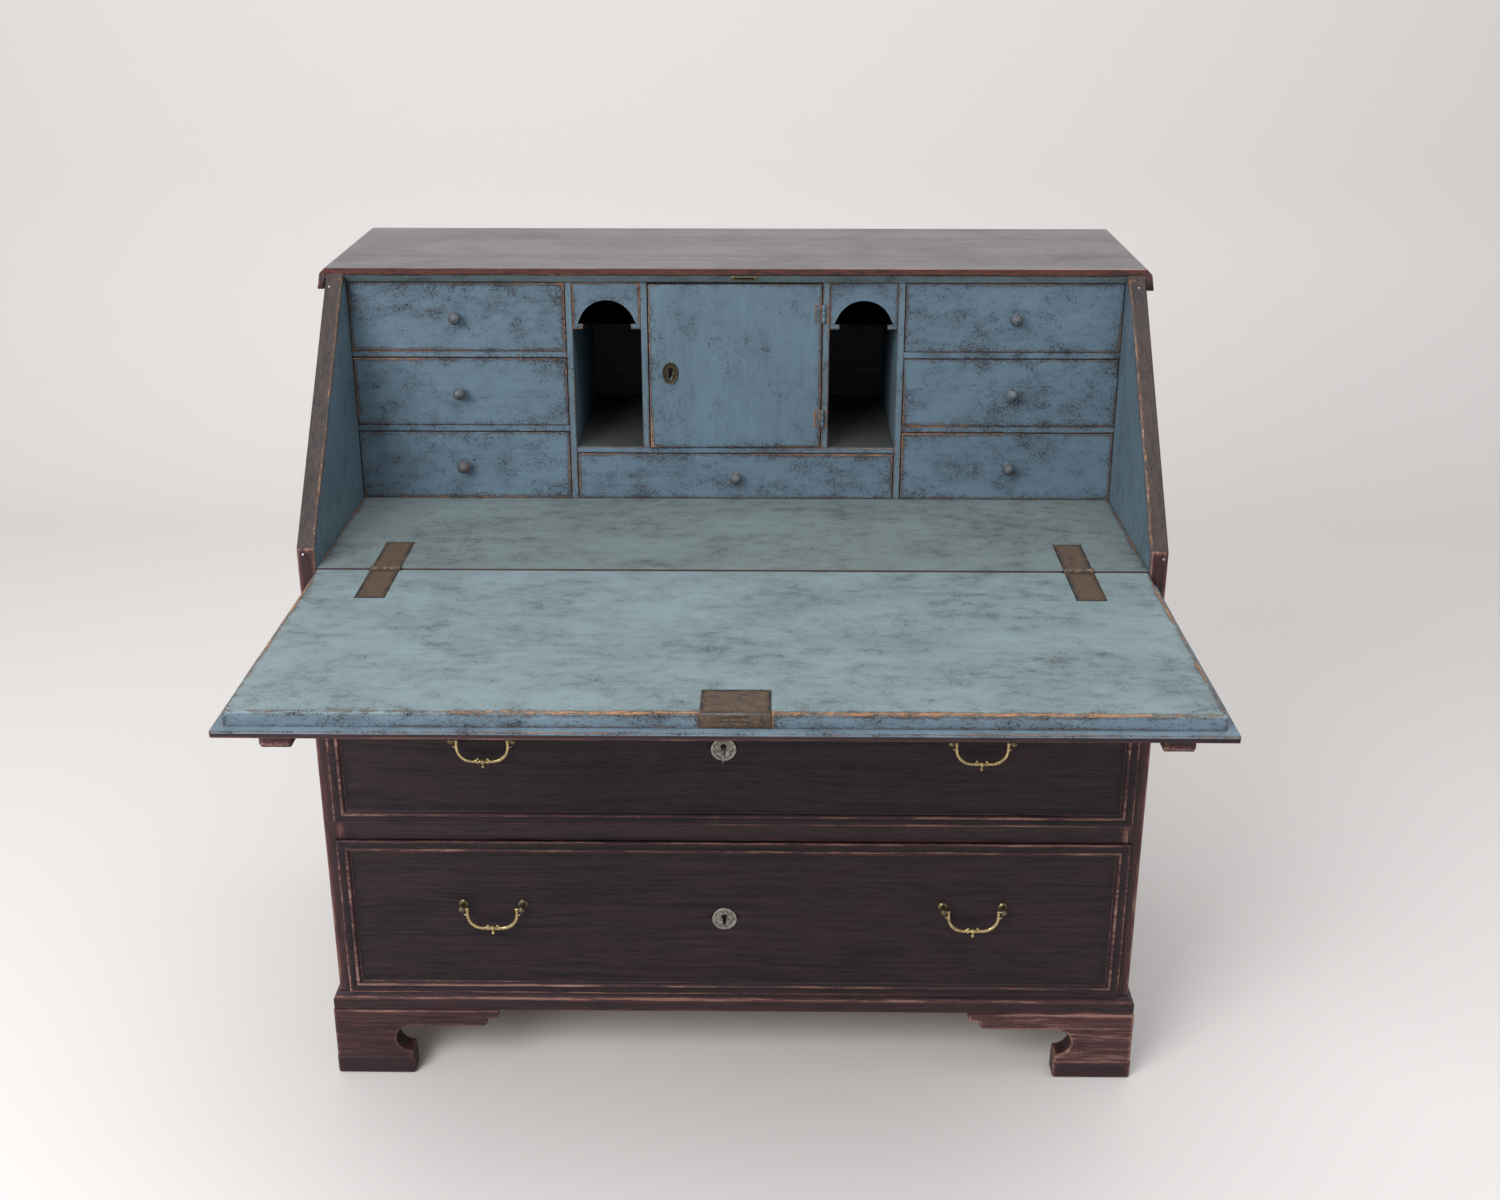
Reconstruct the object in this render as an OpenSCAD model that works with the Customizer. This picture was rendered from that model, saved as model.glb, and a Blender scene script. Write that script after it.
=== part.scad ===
// Slant-front writing bureau: an open fall on two pulled-out lopers, three long drawers,
// a gallery of small drawers and pigeonholes round a door, and stepped bracket feet.
// Millimetres, +Z up, the writer sits on the -Y side. Heights are taken from the floor.

/* [Carcase] */
// Width over the two carcase sides
carcase_w = 1080; // [1000:10:1160]
// Depth from the front edge of the sides to the back of the sides
carcase_d = 568; // [540:2:600]
// Height of the top surface above the floor
total_h = 1073; // [1060:1:1090]
// Thickness of a carcase side
side_t = 22; // [18:1:24]
// Height of the writing surface, and of the fall's hinge axis
desk_h = 750; // [740:1:760]
// Slope of the closed fall above horizontal, in degrees
slope = 47.9; // [47:0.1:49]
// Thickness of the top board in the middle of its width
top_t = 20; // [18:1:22]
// Thickness of the writing board
writing_t = 25; // [22:1:26]
// Thickness of the back boards
back_t = 14; // [10:1:16]
// Number of planks in the back
back_planks = 5; // [3:1:7]

/* [Fall] */
// Thickness of the fall
fall_t = 26; // [22:1:30]
// Depth of the rebate that leaves the fall's lip
lip_rebate = 17.5; // [14:0.5:20]
// Length of the fall's inner face, from the hinge axis to its far edge
fall_reach = 408.5; // [400:0.5:409]
// How far the lip stands past the inner face, all round
lip_over = 11; // [8:1:11]

/* [Lopers] */
// Width of one loper
loper_w = 35; // [28:1:36]
// How far a loper is pulled out at rest
loper_out = 300; // [200:10:340]
// Whole length of a loper
loper_len = 490; // [420:10:500]

/* [Long drawers] */
// How far a drawer's lip stands in front of the carcase
lip_proud = 8; // [6:0.5:9]
// How far a drawer's lip laps over the carcase sides
lip_lap = 7; // [4:1:9]
// Width of the moulded frame round a drawer front
frame_w = 20; // [16:1:24]
// Distance between the two posts of a handle
post_gap = 80; // [70:1:90]
// Distance of a handle from the middle of the carcase
handle_x = 321; // [280:1:340]

/* [Gallery] */
// Front plane of the gallery, behind the carcase front
gallery_y = 277; // [277:1:285]
// Thickness of the partitions and shelves
panel_t = 9; // [7:0.5:10]
// Half the clear width between the outer partitions
bay_half = 218; // [200:1:230]
// Half the clear width of the door opening
door_half = 117.5; // [100:0.5:125]
// Height of the centre drawer's opening
centre_h = 66; // [60:1:70]
// How far the door stands open at rest, in degrees
door_ajar = 1.1; // [0.5:0.1:1.2]

/* [Feet] */
// Height of the feet, up to the underside of the plinth moulding
foot_h = 104; // [90:1:110]
// How far the feet and the plinth moulding stand out from the carcase
plinth_out = 12.5; // [8:0.5:15]
// Thickness of a foot's bracket
bracket_t = 30; // [22:1:34]

/* [Hidden] */
$fn = 64;

// Colours
dark = "#3a2724";
blue = "#5f8088";
pine = "#b08a5e";
brass = "#b08d4a";
iron = "#4a352b";
silvered = "#9b968c";

// Carcase
half_w = carcase_w / 2;
in_half = half_w - side_t;
back_y = carcase_d - back_t;
top_over = 1.5;              // the top board stands this far past the sides at the back
lap_t = 12;                  // thickness of the top board's ends, which lap over the sides
moulding_w = 9;              // the mouldings under the top's ends, their depth and their chamfer
moulding_h = 24;
chamfer = 6;
gap = 0.2;                   // glue line that keeps two boards of one piece apart
lip_side = fall_reach + lip_over;

// The whole piece stands centred on the origin, so its front plane lies behind it
front_y = (lip_side - carcase_d - top_over) / 2;

// Slant. P(s, n) is the point s along the closed fall from its hinge and n outwards from it
cs = cos(slope);
sn = sin(slope);
function P(s, n) = [s * cs - n * sn, desk_h + s * sn + n * cs];
rest_gap = 0.4;              // the closed lip stops this far off the slanted edges
side_n = lip_rebate - rest_gap;
knee_z = desk_h + side_n / cs;
function slant_y(z) = (z - knee_z) * cs / sn;
end_clear = 1;               // between the closed fall's far edge and the top board
under_top = total_h - top_t;
top_s = fall_reach + end_clear;
under_n = (under_top - desk_h - top_s * sn) / cs;

// Levels in the drawer part
bottom_z = 134;
rail_h = 34;
rail_d = 60;
lower_z = [bottom_z, 363];
middle_z = [lower_z[1] + rail_h, 616];
top_z = [middle_z[1] + rail_h, desk_h - writing_t];
runner_t = 12;
runner_w = 60;
lip_under = 4;               // lap of a drawer's lip over a rail
lip_back = -0.3;             // a shut drawer's lip stops this far off the carcase
box_clear = 1.5;             // between a long drawer's box and the sides
box_depth = 530;             // back of the long drawers' boxes
front_t = 14;                // thickness of a drawer front behind the carcase's front plane
box_t = 12;
floor_t = 8;
field_y = -3.5;              // the sunk field of a drawer front
band_y = -lip_proud + 1.2;   // the flat band outside the moulding
band_w = 11;

// Lopers and their guides
loper_x = in_half - 1.5;     // outer face of a loper
loper_in = loper_x - loper_w;
guide_x = loper_in - 1;
guide_t = 10.5;
loper_z = [top_z[0] + 0.5, desk_h - fall_t - 0.1];
loper_chamfer = 6;

// Locks and handles
lock_x = -11;
lower_lock_z = 250;
middle_lock_z = 504;
lower_post_z = 271;
middle_post_z = 521;
top_post_z = 694;
keyhole_up = 3.5;            // keyhole circle above the middle of its escutcheon
keyhole_r = 3.6;
post_y = -18;                // axis on which a bail turns
pin_r = 1.5;
pin_clear = 0.2;             // between a pin and its hole, on the radius
ball_r = 4.6;
bail_r = 2.3;
bail_arc = 21;
bail_side = 34.3;
case_w = 90;
case_y = [4, 14];
cavity_r = 11;
bolt_w = 24;
bolt_gap = 0.3;
key_z = middle_lock_z + keyhole_up;

// Fall hinges
hinge_x = 430.5;
leaf_w = 37;
leaf_l = 97;
leaf_t = 2.5;
knuckle_r = 4.2;
hinge_pin_r = 2;
knuckle_cut = 4.8;
knuckle_part = leaf_w / 3;
leaf_start = 4.6;            // a leaf begins this far from the pin beside the other's knuckle
board_gap = 1.5;             // the fall starts this far in front of the hinge axis

// Fall lock
fall_lock_x = 12.5;
plate_w = 74;
plate_l = 58;
plate_t = 2;
slot_w = 28;

// Gallery
floor_z = desk_h + centre_h;
floor_top = floor_z + 8;
shelf_z = [desk_h + 96.5, desk_h + 200];
shelf_t = 8.5;
small_depth = 535;           // back of the small drawers
small_clear = 1;
small_front = 12;
small_t = 7;
valance_z = 989;
valance_t = 8;
arch_r = 32.3;
knob_x = 374;
knob_r = 8.5;
door_t = 12;
door_z = [floor_top + 0.5, 1050.5];
door_axis = [door_half + 1, gallery_y - 2.5];
door_leaf_h = 24;
door_leaf_z = [866, 1011];
door_lock_z = 930;

// Feet. The profile runs along x from the corner inwards, z upwards
foot_w = 105.5;
foot_pad_h = 26;
arm_z = 79;
arm_len = 210.5;
step_len = 226.5;
step_z = 91;
scallop_r = 20;
scallop = [103.5, 57.5];
pad_proud = 1;
foot_half = half_w + plinth_out;

// ---- helpers ----

// Moves a piece from carcase coordinates, where y = 0 is the front plane, to the part's frame
module at_front() {
    translate([0, front_y, 0]) children();
}

module board(x, y, z) {
    translate([x[0], y[0], z[0]]) cube([x[1] - x[0], y[1] - y[0], z[1] - z[0]]);
}

module both_sides() {
    children();
    mirror([1, 0, 0]) children();
}

// An outline in y and z, drawn out along x
module yz_prism(points, x) {
    translate([x[0], 0, 0]) rotate([90, 0, 90]) linear_extrude(x[1] - x[0]) polygon(points);
}

// An outline in x and z, drawn out along y
module xz_prism(points, y) {
    translate([0, y[1], 0]) rotate([90, 0, 0]) linear_extrude(y[1] - y[0]) polygon(points);
}

module rod_x(x, y, z, r) {
    translate([x[0], y, z]) rotate([0, 90, 0]) cylinder(r = r, h = x[1] - x[0]);
}

module rod_y(x, y, z, r) {
    translate([x, y[1], z]) rotate([90, 0, 0]) cylinder(r = r, h = y[1] - y[0]);
}

module keyhole(x, z, y) {
    rod_y(x, y, z + keyhole_up, keyhole_r);
    board([x - 2.2, x + 2.2], y, [z - 8.5, z + keyhole_up]);
}

// ---- carcase ----

module side_board() {
    lap_z = total_h - lap_t;
    outline = [
        [0, foot_h],
        [carcase_d, foot_h],
        [carcase_d, lap_z],
        [slant_y(lap_z), lap_z],
        [0, knee_z]
    ];
    color(dark) at_front() yz_prism(outline, [in_half, half_w]);
}

module side_right() {
    side_board();
}

module side_left() {
    mirror([1, 0, 0]) side_board();
}

module top_board() {
    back = carcase_d + top_over;
    lap_z = total_h - lap_t;
    middle = [
        [slant_y(total_h), total_h],
        P(top_s, side_n),
        P(top_s, under_n),
        [back, under_top],
        [back, total_h]
    ];
    end = [
        [slant_y(total_h), total_h],
        [slant_y(lap_z), lap_z],
        [back, lap_z],
        [back, total_h]
    ];
    color(dark) at_front() difference() {
        union() {
            yz_prism(middle, [-in_half, in_half]);
            both_sides() yz_prism(end, [in_half - 1, half_w]);
        }
        // the closing fall's end passes below the laps, and the lock's bolt shoots in here
        translate([fall_lock_x, 0, 0]) striker_pocket();
    }
}

// Sits on the rebated edge of the top board, square to the closed fall
module on_rebate() {
    centre = P(top_s, side_n / 2);
    translate([0, centre[0], centre[1]]) rotate([slope, 0, 0]) children();
}

module striker_pocket() {
    on_rebate() translate([-19, -1, -5.5]) cube([38, 9, 11]);
}

module top_mouldings() {
    low = total_h - moulding_h;
    outline = [
        [slant_y(total_h), total_h],
        [slant_y(low), low],
        [carcase_d, low],
        [carcase_d, total_h]
    ];
    corner = [
        [half_w + moulding_w - chamfer, total_h + 1],
        [half_w + moulding_w + 1, total_h + 1],
        [half_w + moulding_w + 1, total_h - chamfer]
    ];
    color(dark) at_front() both_sides() difference() {
        yz_prism(outline, [half_w + gap, half_w + moulding_w]);
        xz_prism(corner, [0, carcase_d + 1]);
    }
}

module bottom_board() {
    color(pine) at_front() board([-in_half, in_half], [0, back_y], [foot_h, bottom_z]);
}

module writing_board() {
    color(blue) at_front() difference() {
        board([-in_half, in_half], [1, back_y], [desk_h - writing_t, desk_h]);
        for (side = [-1, 1]) hinge_recess(side * hinge_x, [0, leaf_l + gap]);
    }
}

// Room for a leaf and the knuckle in the edge of a board
module hinge_recess(x, y) {
    half = leaf_w / 2 + gap;
    board([x - half, x + half], y, [desk_h - leaf_t - gap, desk_h + 1]);
    rod_x([x - half, x + half], 0, desk_h, knuckle_cut);
}

module drawer_rails() {
    color(dark) at_front() difference() {
        union() {
            board([-in_half, in_half], [0, rail_d], [lower_z[1], middle_z[0]]);
            board([-in_half, in_half], [0, rail_d], [middle_z[1], top_z[0]]);
        }
        // mortise for the bolt of the middle drawer's lock
        board([lock_x - 14, lock_x + 14], [4, 12], [middle_z[1] - 1, middle_z[1] + 11]);
    }
}

module drawer_runners() {
    color(pine) at_front() both_sides() for (z = [middle_z[0], top_z[0]])
        board([in_half - runner_w, in_half], [rail_d + gap, back_y], [z - runner_t, z]);
}

module loper_guides() {
    color(dark) at_front() both_sides()
        board([guide_x - guide_t, guide_x], [0, back_y], [top_z[0], top_z[1]]);
}

module back_boards() {
    step = (under_top - foot_h) / back_planks;
    color(pine) at_front() for (i = [0 : back_planks - 1])
        board([-in_half, in_half], [back_y, carcase_d],
              [foot_h + i * step + 0.5, foot_h + (i + 1) * step - 0.5]);
}

// Plinth moulding: a flat face under a sloping top, a little behind the faces of the feet
plinth_face = plinth_out - 2.3;
plinth_profile = [
    [0, foot_h],
    [-plinth_face, foot_h],
    [-plinth_face, 122],
    [-plinth_face + 2.5, 125],
    [0, 130]
];

module plinth_moulding() {
    reach = foot_half + 50;
    color(dark) at_front() {
        // front length, mitred at both ends
        intersection() {
            yz_prism(plinth_profile, [-foot_half, foot_half]);
            linear_extrude(200) polygon([[-reach, -reach + half_w], [reach, -reach + half_w], [0, half_w]]);
        }
        // side lengths
        both_sides() intersection() {
            translate([half_w, 0, 0]) rotate([0, 0, 90]) yz_prism(plinth_profile, [-50, carcase_d]);
            linear_extrude(200) polygon([
                [half_w - 1, gap + 1], [half_w + 50, gap - 50], [half_w + 50, carcase_d],
                [half_w - 1, carcase_d]
            ]);
        }
    }
}

// Outline of one bracket, its corner at x = 0
module bracket(y) {
    outline = [
        [0, foot_pad_h],
        [foot_w, foot_pad_h],
        [foot_w, arm_z],
        [arm_len, arm_z],
        [arm_len, step_z],
        [step_len, step_z],
        [step_len, foot_h],
        [0, foot_h]
    ];
    difference() {
        xz_prism(outline, y);
        rod_y(scallop[0], [y[0] - 1, y[1] + 1], scallop[1], scallop_r);
    }
}

// Bracket foot with its corner at the origin, one arm along +x and one along +y
module bracket_foot(front_arm) {
    union() {
        if (front_arm) bracket([0, bracket_t]);
        rotate([0, 0, 90]) mirror([0, 1, 0]) bracket([0, bracket_t]);
        board([-pad_proud, foot_w + pad_proud], [-pad_proud, bracket_t], [0, foot_pad_h]);
        board([-pad_proud, bracket_t], [-pad_proud, foot_w + pad_proud], [0, foot_pad_h]);
        // glue block in the angle
        board([bracket_t - 1, bracket_t + 40], [bracket_t - 1, bracket_t + 40], [foot_pad_h, foot_h]);
        if (!front_arm) board([0, foot_w], [0, bracket_t - 6], [foot_pad_h, foot_h]);
    }
}

module front_feet() {
    color(dark) at_front() both_sides()
        translate([-foot_half + pad_proud, -plinth_out, 0]) bracket_foot(true);
}

module rear_feet() {
    color(dark) at_front() both_sides()
        translate([-foot_half + pad_proud, carcase_d, 0]) mirror([0, 1, 0]) bracket_foot(false);
}

// ---- gallery ----

module gallery_partitions() {
    depth = [gallery_y, back_y];
    color(blue) at_front() both_sides() {
        board([bay_half, bay_half + panel_t], depth, [desk_h, under_top]);
        board([door_half, door_half + panel_t], depth, [floor_top, under_top]);
    }
}

module gallery_shelves() {
    depth = [gallery_y, back_y];
    color(blue) at_front() {
        board([-bay_half, bay_half], depth, [floor_z, floor_top]);
        both_sides() for (z = shelf_z)
            board([bay_half + panel_t, in_half], depth, [z, z + shelf_t]);
    }
}

module valances() {
    low = door_half + panel_t;
    middle = (low + bay_half) / 2;
    color(blue) at_front() both_sides() difference() {
        board([low, bay_half], [gallery_y + 1, gallery_y + 1 + valance_t], [valance_z, under_top]);
        rod_y(middle, [gallery_y, gallery_y + valance_t + 2], valance_z + 1, arch_r);
    }
}

module striker_plate() {
    color(brass) at_front() translate([fall_lock_x, 0, 0]) on_rebate() difference() {
        translate([-18, 0.3, -5]) cube([36, 1.5, 10]);
        translate([-13, -1, -2.5]) cube([26, 5, 5]);
    }
}

// Leaves with the two outer knuckles and the pin, let into the writing board
module fall_hinge_fixed_leaves() {
    half = leaf_w / 2;
    third = knuckle_part / 2;
    color(iron) at_front() for (side = [-1, 1]) translate([side * hinge_x, 0, 0]) {
        difference() {
            union() {
                board([-half, half], [leaf_start, leaf_l], [desk_h - leaf_t, desk_h]);
                for (x = [[-half, -third - gap], [third + gap, half]]) {
                    board(x, [1, leaf_l], [desk_h - leaf_t, desk_h]);
                    rod_x(x, 0, desk_h, knuckle_r);
                }
            }
            rod_x([-half - 1, half + 1], 0, desk_h, hinge_pin_r + pin_clear);
        }
        rod_x([-half + 1, half - 1], 0, desk_h, hinge_pin_r);
    }
}

// ---- fall ----

module fall_board() {
    inner = half_w - side_t - 2;
    lip_half = inner + lip_over + 1;
    low = desk_h - fall_t;
    color(blue) at_front() difference() {
        union() {
            board([-inner, inner], [-fall_reach, -board_gap], [low, desk_h]);
            board([-lip_half, lip_half], [-lip_side, -board_gap], [low, desk_h - lip_rebate]);
        }
        for (side = [-1, 1]) hinge_recess(side * hinge_x, [-leaf_l - gap, 0]);
        translate([fall_lock_x, -fall_reach, desk_h]) {
            board([-plate_w / 2 - gap, plate_w / 2 + gap], [-1, plate_l + gap], [-plate_t - gap, 1]);
            board([-plate_w / 2 - gap, plate_w / 2 + gap], [-1, plate_t + gap], [-lip_rebate, 1]);
            board([-slot_w - gap, slot_w + gap], [-1, plate_l - 4], [-lip_rebate, 1]);
        }
    }
}

module fall_hinge_moving_leaves() {
    half = leaf_w / 2;
    third = knuckle_part / 2;
    color(iron) at_front() for (side = [-1, 1]) translate([side * hinge_x, 0, 0]) difference() {
        union() {
            board([-half, half], [-leaf_l, -leaf_start], [desk_h - leaf_t, desk_h]);
            board([-third, third], [-leaf_l, -1], [desk_h - leaf_t, desk_h]);
            rod_x([-third, third], 0, desk_h, knuckle_r);
        }
        rod_x([-half, half], 0, desk_h, hinge_pin_r + pin_clear);
    }
}

// Iron plate with a selvedge folded over the edge, and the case below it
module fall_lock() {
    half = plate_w / 2;
    color(iron) at_front() translate([fall_lock_x, -fall_reach, desk_h]) difference() {
        union() {
            board([-half, half], [0, plate_l], [-plate_t, 0]);
            board([-half, half], [0, plate_t], [-lip_rebate + gap, 0]);
            board([-slot_w, slot_w], [plate_t, plate_l - 5], [-lip_rebate + 1, -plate_t + 0.5]);
        }
        board([-slot_w / 2, slot_w / 2], [-1, 20], [-10.5, -5]);
    }
}

// ---- lopers ----

module loper() {
    c = loper_chamfer;
    front = -loper_out;
    outline = [
        [front, loper_z[0] + c],
        [front + c, loper_z[0]],
        [front + loper_len, loper_z[0]],
        [front + loper_len, loper_z[1]],
        [front, loper_z[1]]
    ];
    color(dark) at_front() yz_prism(outline, [loper_in, loper_x]);
}

module loper_left() {
    mirror([1, 0, 0]) loper();
}

module loper_right() {
    loper();
}

// ---- long drawers ----

// A moulded, lipped front: half is the lip's half width, z the lip, inner the part inside
module drawer_front(half, z, inner_half, inner_z) {
    difference() {
        union() {
            board([-half, half], [band_y, lip_back], z);
            board([-half + band_w, half - band_w], [-lip_proud, lip_back],
                  [z[0] + band_w, z[1] - band_w]);
            board([-inner_half, inner_half], [-1, front_t], inner_z);
        }
        board([-half + frame_w, half - frame_w], [-lip_proud - 1, field_y],
              [z[0] + frame_w, z[1] - frame_w]);
    }
}

module lower_drawer_front() {
    color(dark) at_front() difference() {
        drawer_front(in_half + lip_lap, [lower_z[0] - 3.5, lower_z[1] + lip_under],
                     in_half - box_clear, [lower_z[0] + 0.5, lower_z[1] - 2]);
        lock_pocket(lower_lock_z, lower_z[1] - 2);
    }
}

module middle_drawer_front() {
    color(dark) at_front() difference() {
        drawer_front(in_half + lip_lap, [middle_z[0] - lip_under, middle_z[1] + lip_under],
                     in_half - box_clear, [middle_z[0] + 0.5, middle_z[1] - 4]);
        lock_pocket(middle_lock_z, middle_z[1] - 4);
    }
}

module top_drawer_front() {
    color(dark) at_front()
        drawer_front(guide_x - guide_t + 4, [top_z[0] - lip_under, top_z[1] - 3],
                     guide_x - guide_t - box_clear, [top_z[0] + 0.5, top_z[1] - 3.5]);
}

// Keyhole through the front and the pocket for the lock case behind it
module lock_pocket(z, top) {
    keyhole(lock_x, z, [-lip_proud - 1, front_t + 1]);
    board([lock_x - case_w / 2 - gap, lock_x + case_w / 2 + gap],
          [case_y[0] - gap, front_t + 1], [z - 14 - gap, top + 1]);
}

// Sides, back and bottom of a long drawer, open at the top
module drawer_box(half, z) {
    y0 = front_t + gap;
    color(pine) at_front() {
        both_sides() board([half - box_t, half], [y0, box_depth], z);
        inside = half - box_t - gap;
        board([-inside, inside], [box_depth - box_t, box_depth], z);
        board([-inside, inside], [y0, box_depth - box_t - gap], [z[0], z[0] + floor_t]);
    }
}

module lower_drawer_box() {
    drawer_box(in_half - box_clear, [lower_z[0] + 0.5, lower_z[1] - 6]);
}

module middle_drawer_box() {
    drawer_box(in_half - box_clear, [middle_z[0] + 0.5, middle_z[1] - 8]);
}

module top_drawer_box() {
    drawer_box(guide_x - guide_t - box_clear, [top_z[0] + 0.5, top_z[1] - 6]);
}

module lock_case(z, top) {
    difference() {
        board([lock_x - case_w / 2, lock_x + case_w / 2], case_y, [z - 14, top]);
        rod_y(lock_x, [case_y[0] - 1, case_y[1] - 1.5], z + keyhole_up, cavity_r);
        // the bolt's way up to the top edge
        half = bolt_w / 2 + bolt_gap;
        board([lock_x - half, lock_x + half], [5.2, 10.8], [z + 15, top + 1]);
    }
}

// Round plate on the field of the drawer front
module escutcheon(z) {
    difference() {
        rod_y(lock_x, [field_y - 2, field_y], z, 16.5);
        keyhole(lock_x, z, [field_y - 3, field_y + 1]);
    }
}

module lower_drawer_lock() {
    color(silvered) at_front() {
        lock_case(lower_lock_z, lower_z[1] - 2);
        escutcheon(lower_lock_z);
    }
}

module middle_drawer_lock() {
    color(silvered) at_front() {
        lock_case(middle_lock_z, middle_z[1] - 4);
        escutcheon(middle_lock_z);
    }
}

module middle_lock_bolt() {
    half = bolt_w / 2;
    color(iron) at_front() board([lock_x - half, lock_x + half], [5.5, 10.5],
                                 [middle_lock_z + 16, middle_z[1] - 4.5]);
}

// Stem, bit, collar and a flat oval bow that stands upright
module key() {
    bow_y = -27;
    color(iron) at_front() translate([lock_x, 0, key_z]) {
        difference() {
            union() {
                rod_y(0, [-20, 11], 0, 2.3);
                rod_y(0, [-14, -11], 0, 3.4);
                board([-1.1, 1.1], [4.8, 10], [-9, 0]);
                for (z = [-4, 4]) rod_x([-1.5, 1.5], bow_y, z, 8);
                board([-1.5, 1.5], [bow_y - 8, bow_y + 8], [-4, 4]);
            }
            for (z = [-4, 4]) rod_x([-2, 2], bow_y, z, 4.6);
            board([-2, 2], [bow_y - 4.6, bow_y + 4.6], [-4, 4]);
        }
    }
}

// Turned post: a flattened ball on the field, a neck and the ball that holds the bail
module handle_post(x, z, inward) {
    difference() {
        union() {
            translate([x, field_y, z]) rotate([90, 0, 0]) {
                cylinder(r = 6.5, h = 1.5);
                translate([0, 0, 1.5]) cylinder(r1 = 6, r2 = 3, h = 3.5);
                cylinder(r = 2.6, h = field_y - post_y);
            }
            // the ball's poles lie along the post, clear of the pin's hole
            translate([x, post_y, z]) rotate([90, -45, 0]) sphere(r = ball_r);
        }
        hole = inward > 0 ? [x, x + 8] : [x - 8, x];
        rod_x(hole, post_y, z, pin_r + pin_clear);
    }
}

module handle_posts(z) {
    color(brass) at_front() for (side = [-1, 1]) {
        handle_post(side * handle_x - post_gap / 2, z, 1);
        handle_post(side * handle_x + post_gap / 2, z, -1);
    }
}

// Swan-neck bail that hangs from two pins on the axis x
module bail(side, z) {
    arc_x = bail_side - bail_arc;
    arc_z = -8.5;
    low = arc_z - bail_arc;
    color(brass) at_front() translate([side * handle_x, post_y, z]) {
        both_sides() {
            rod_x([bail_side - 4, post_gap / 2 - 0.5], 0, 0, pin_r);
            translate([bail_side - 1.5, 0, arc_z]) cylinder(r = bail_r, h = -arc_z + 1);
            translate([bail_side - 1.5, 0, 1]) sphere(r = bail_r);
            translate([arc_x, 0, arc_z]) rotate([90, 0, 0]) rotate([0, 0, -90])
                rotate_extrude(angle = 90) translate([bail_arc - 1, 0]) circle(r = bail_r);
        }
        rod_x([-arc_x, arc_x], 0, low + 1, bail_r);
        translate([0, 0, low + 1]) sphere(r = 4.4);
        translate([0, 0, low - 6.5]) cylinder(r1 = 1.4, r2 = 3.4, h = 5);
        translate([0, 0, low - 8]) sphere(r = 2.4);
    }
}

// ---- small drawers ----

function row_z(row) =
    row == 1 ? [shelf_z[1] + shelf_t, under_top] :
    row == 2 ? [shelf_z[0] + shelf_t, shelf_z[1]] :
    [desk_h, shelf_z[0]];

module small_drawer(x, z) {
    back = small_depth;
    y1 = gallery_y + small_front;
    color(blue) at_front() {
        board(x, [gallery_y, y1], z);
        for (wall = [[x[0], x[0] + small_t], [x[1] - small_t, x[1]]])
            board(wall, [y1 + gap, back], [z[0], z[1] - 3]);
        inside = [x[0] + small_t + gap, x[1] - small_t - gap];
        board(inside, [back - small_t, back], [z[0], z[1] - 3]);
        board(inside, [y1 + gap, back - small_t - gap], [z[0], z[0] + 5]);
    }
}

module gallery_drawer(side, row) {
    z = row_z(row);
    x0 = bay_half + panel_t + small_clear;
    x1 = in_half - small_clear;
    small_drawer(side > 0 ? [x0, x1] : [-x1, -x0], [z[0] + 0.4, z[1] - 1.3]);
}

module gallery_drawer_centre() {
    small_drawer([-bay_half + small_clear, bay_half - small_clear], [desk_h + 0.4, floor_z - 1.2]);
}

module knob(x, z) {
    color(blue) at_front() translate([x, gallery_y, z]) rotate([90, 0, 0]) {
        cylinder(r = 4.2, h = 9);
        cylinder(r = 6, h = 2);
        translate([0, 0, 13.5]) sphere(r = knob_r);
    }
}

module gallery_knob(side, row) {
    z = row_z(row);
    knob(side * knob_x, (z[0] + z[1]) / 2);
}

// ---- door ----

// Places a piece drawn for the closed door where the door stands
module on_door() {
    at_front() translate([door_axis[0], door_axis[1], 0]) rotate([0, 0, door_ajar])
        translate([-door_axis[0], -door_axis[1], 0]) children();
}

module door_panel() {
    color(blue) on_door() difference() {
        board([-door_half + 1.5, door_half - 1], [gallery_y, gallery_y + door_t], door_z);
        for (z = door_leaf_z) {
            board([door_half - 11, door_half], [gallery_y - 1, gallery_y + 1.3],
                  [z - door_leaf_h / 2 - gap, z + door_leaf_h / 2 + gap]);
            translate([door_axis[0], door_axis[1], z - door_leaf_h / 2 - gap])
                cylinder(r = 2.6, h = door_leaf_h + 2 * gap);
        }
        keyhole(-door_half + 30, door_lock_z, [gallery_y - 1, gallery_y + door_t + 1]);
    }
}

module door_hinge_moving_leaves() {
    third = door_leaf_h / 6;
    color(iron) on_door() for (z = door_leaf_z) difference() {
        union() {
            board([door_half - 10.8, door_half - 1.4], [gallery_y, gallery_y + 1.2],
                  [z - door_leaf_h / 2, z + door_leaf_h / 2]);
            // the middle part steps forward to reach the pin, clear of the partition's edge
            board([door_half - 4, door_half - 1.4], [gallery_y - 1.8, gallery_y + 1], [z - third, z + third]);
            board([door_half - 4, door_half + 1], [gallery_y - 1.8, gallery_y - 0.6], [z - third, z + third]);
            translate([door_axis[0], door_axis[1], z - third]) cylinder(r = 2.2, h = 2 * third);
        }
        translate([door_axis[0], door_axis[1], z - third - 1]) cylinder(r = 1.05, h = 2 * third + 2);
    }
}

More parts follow.
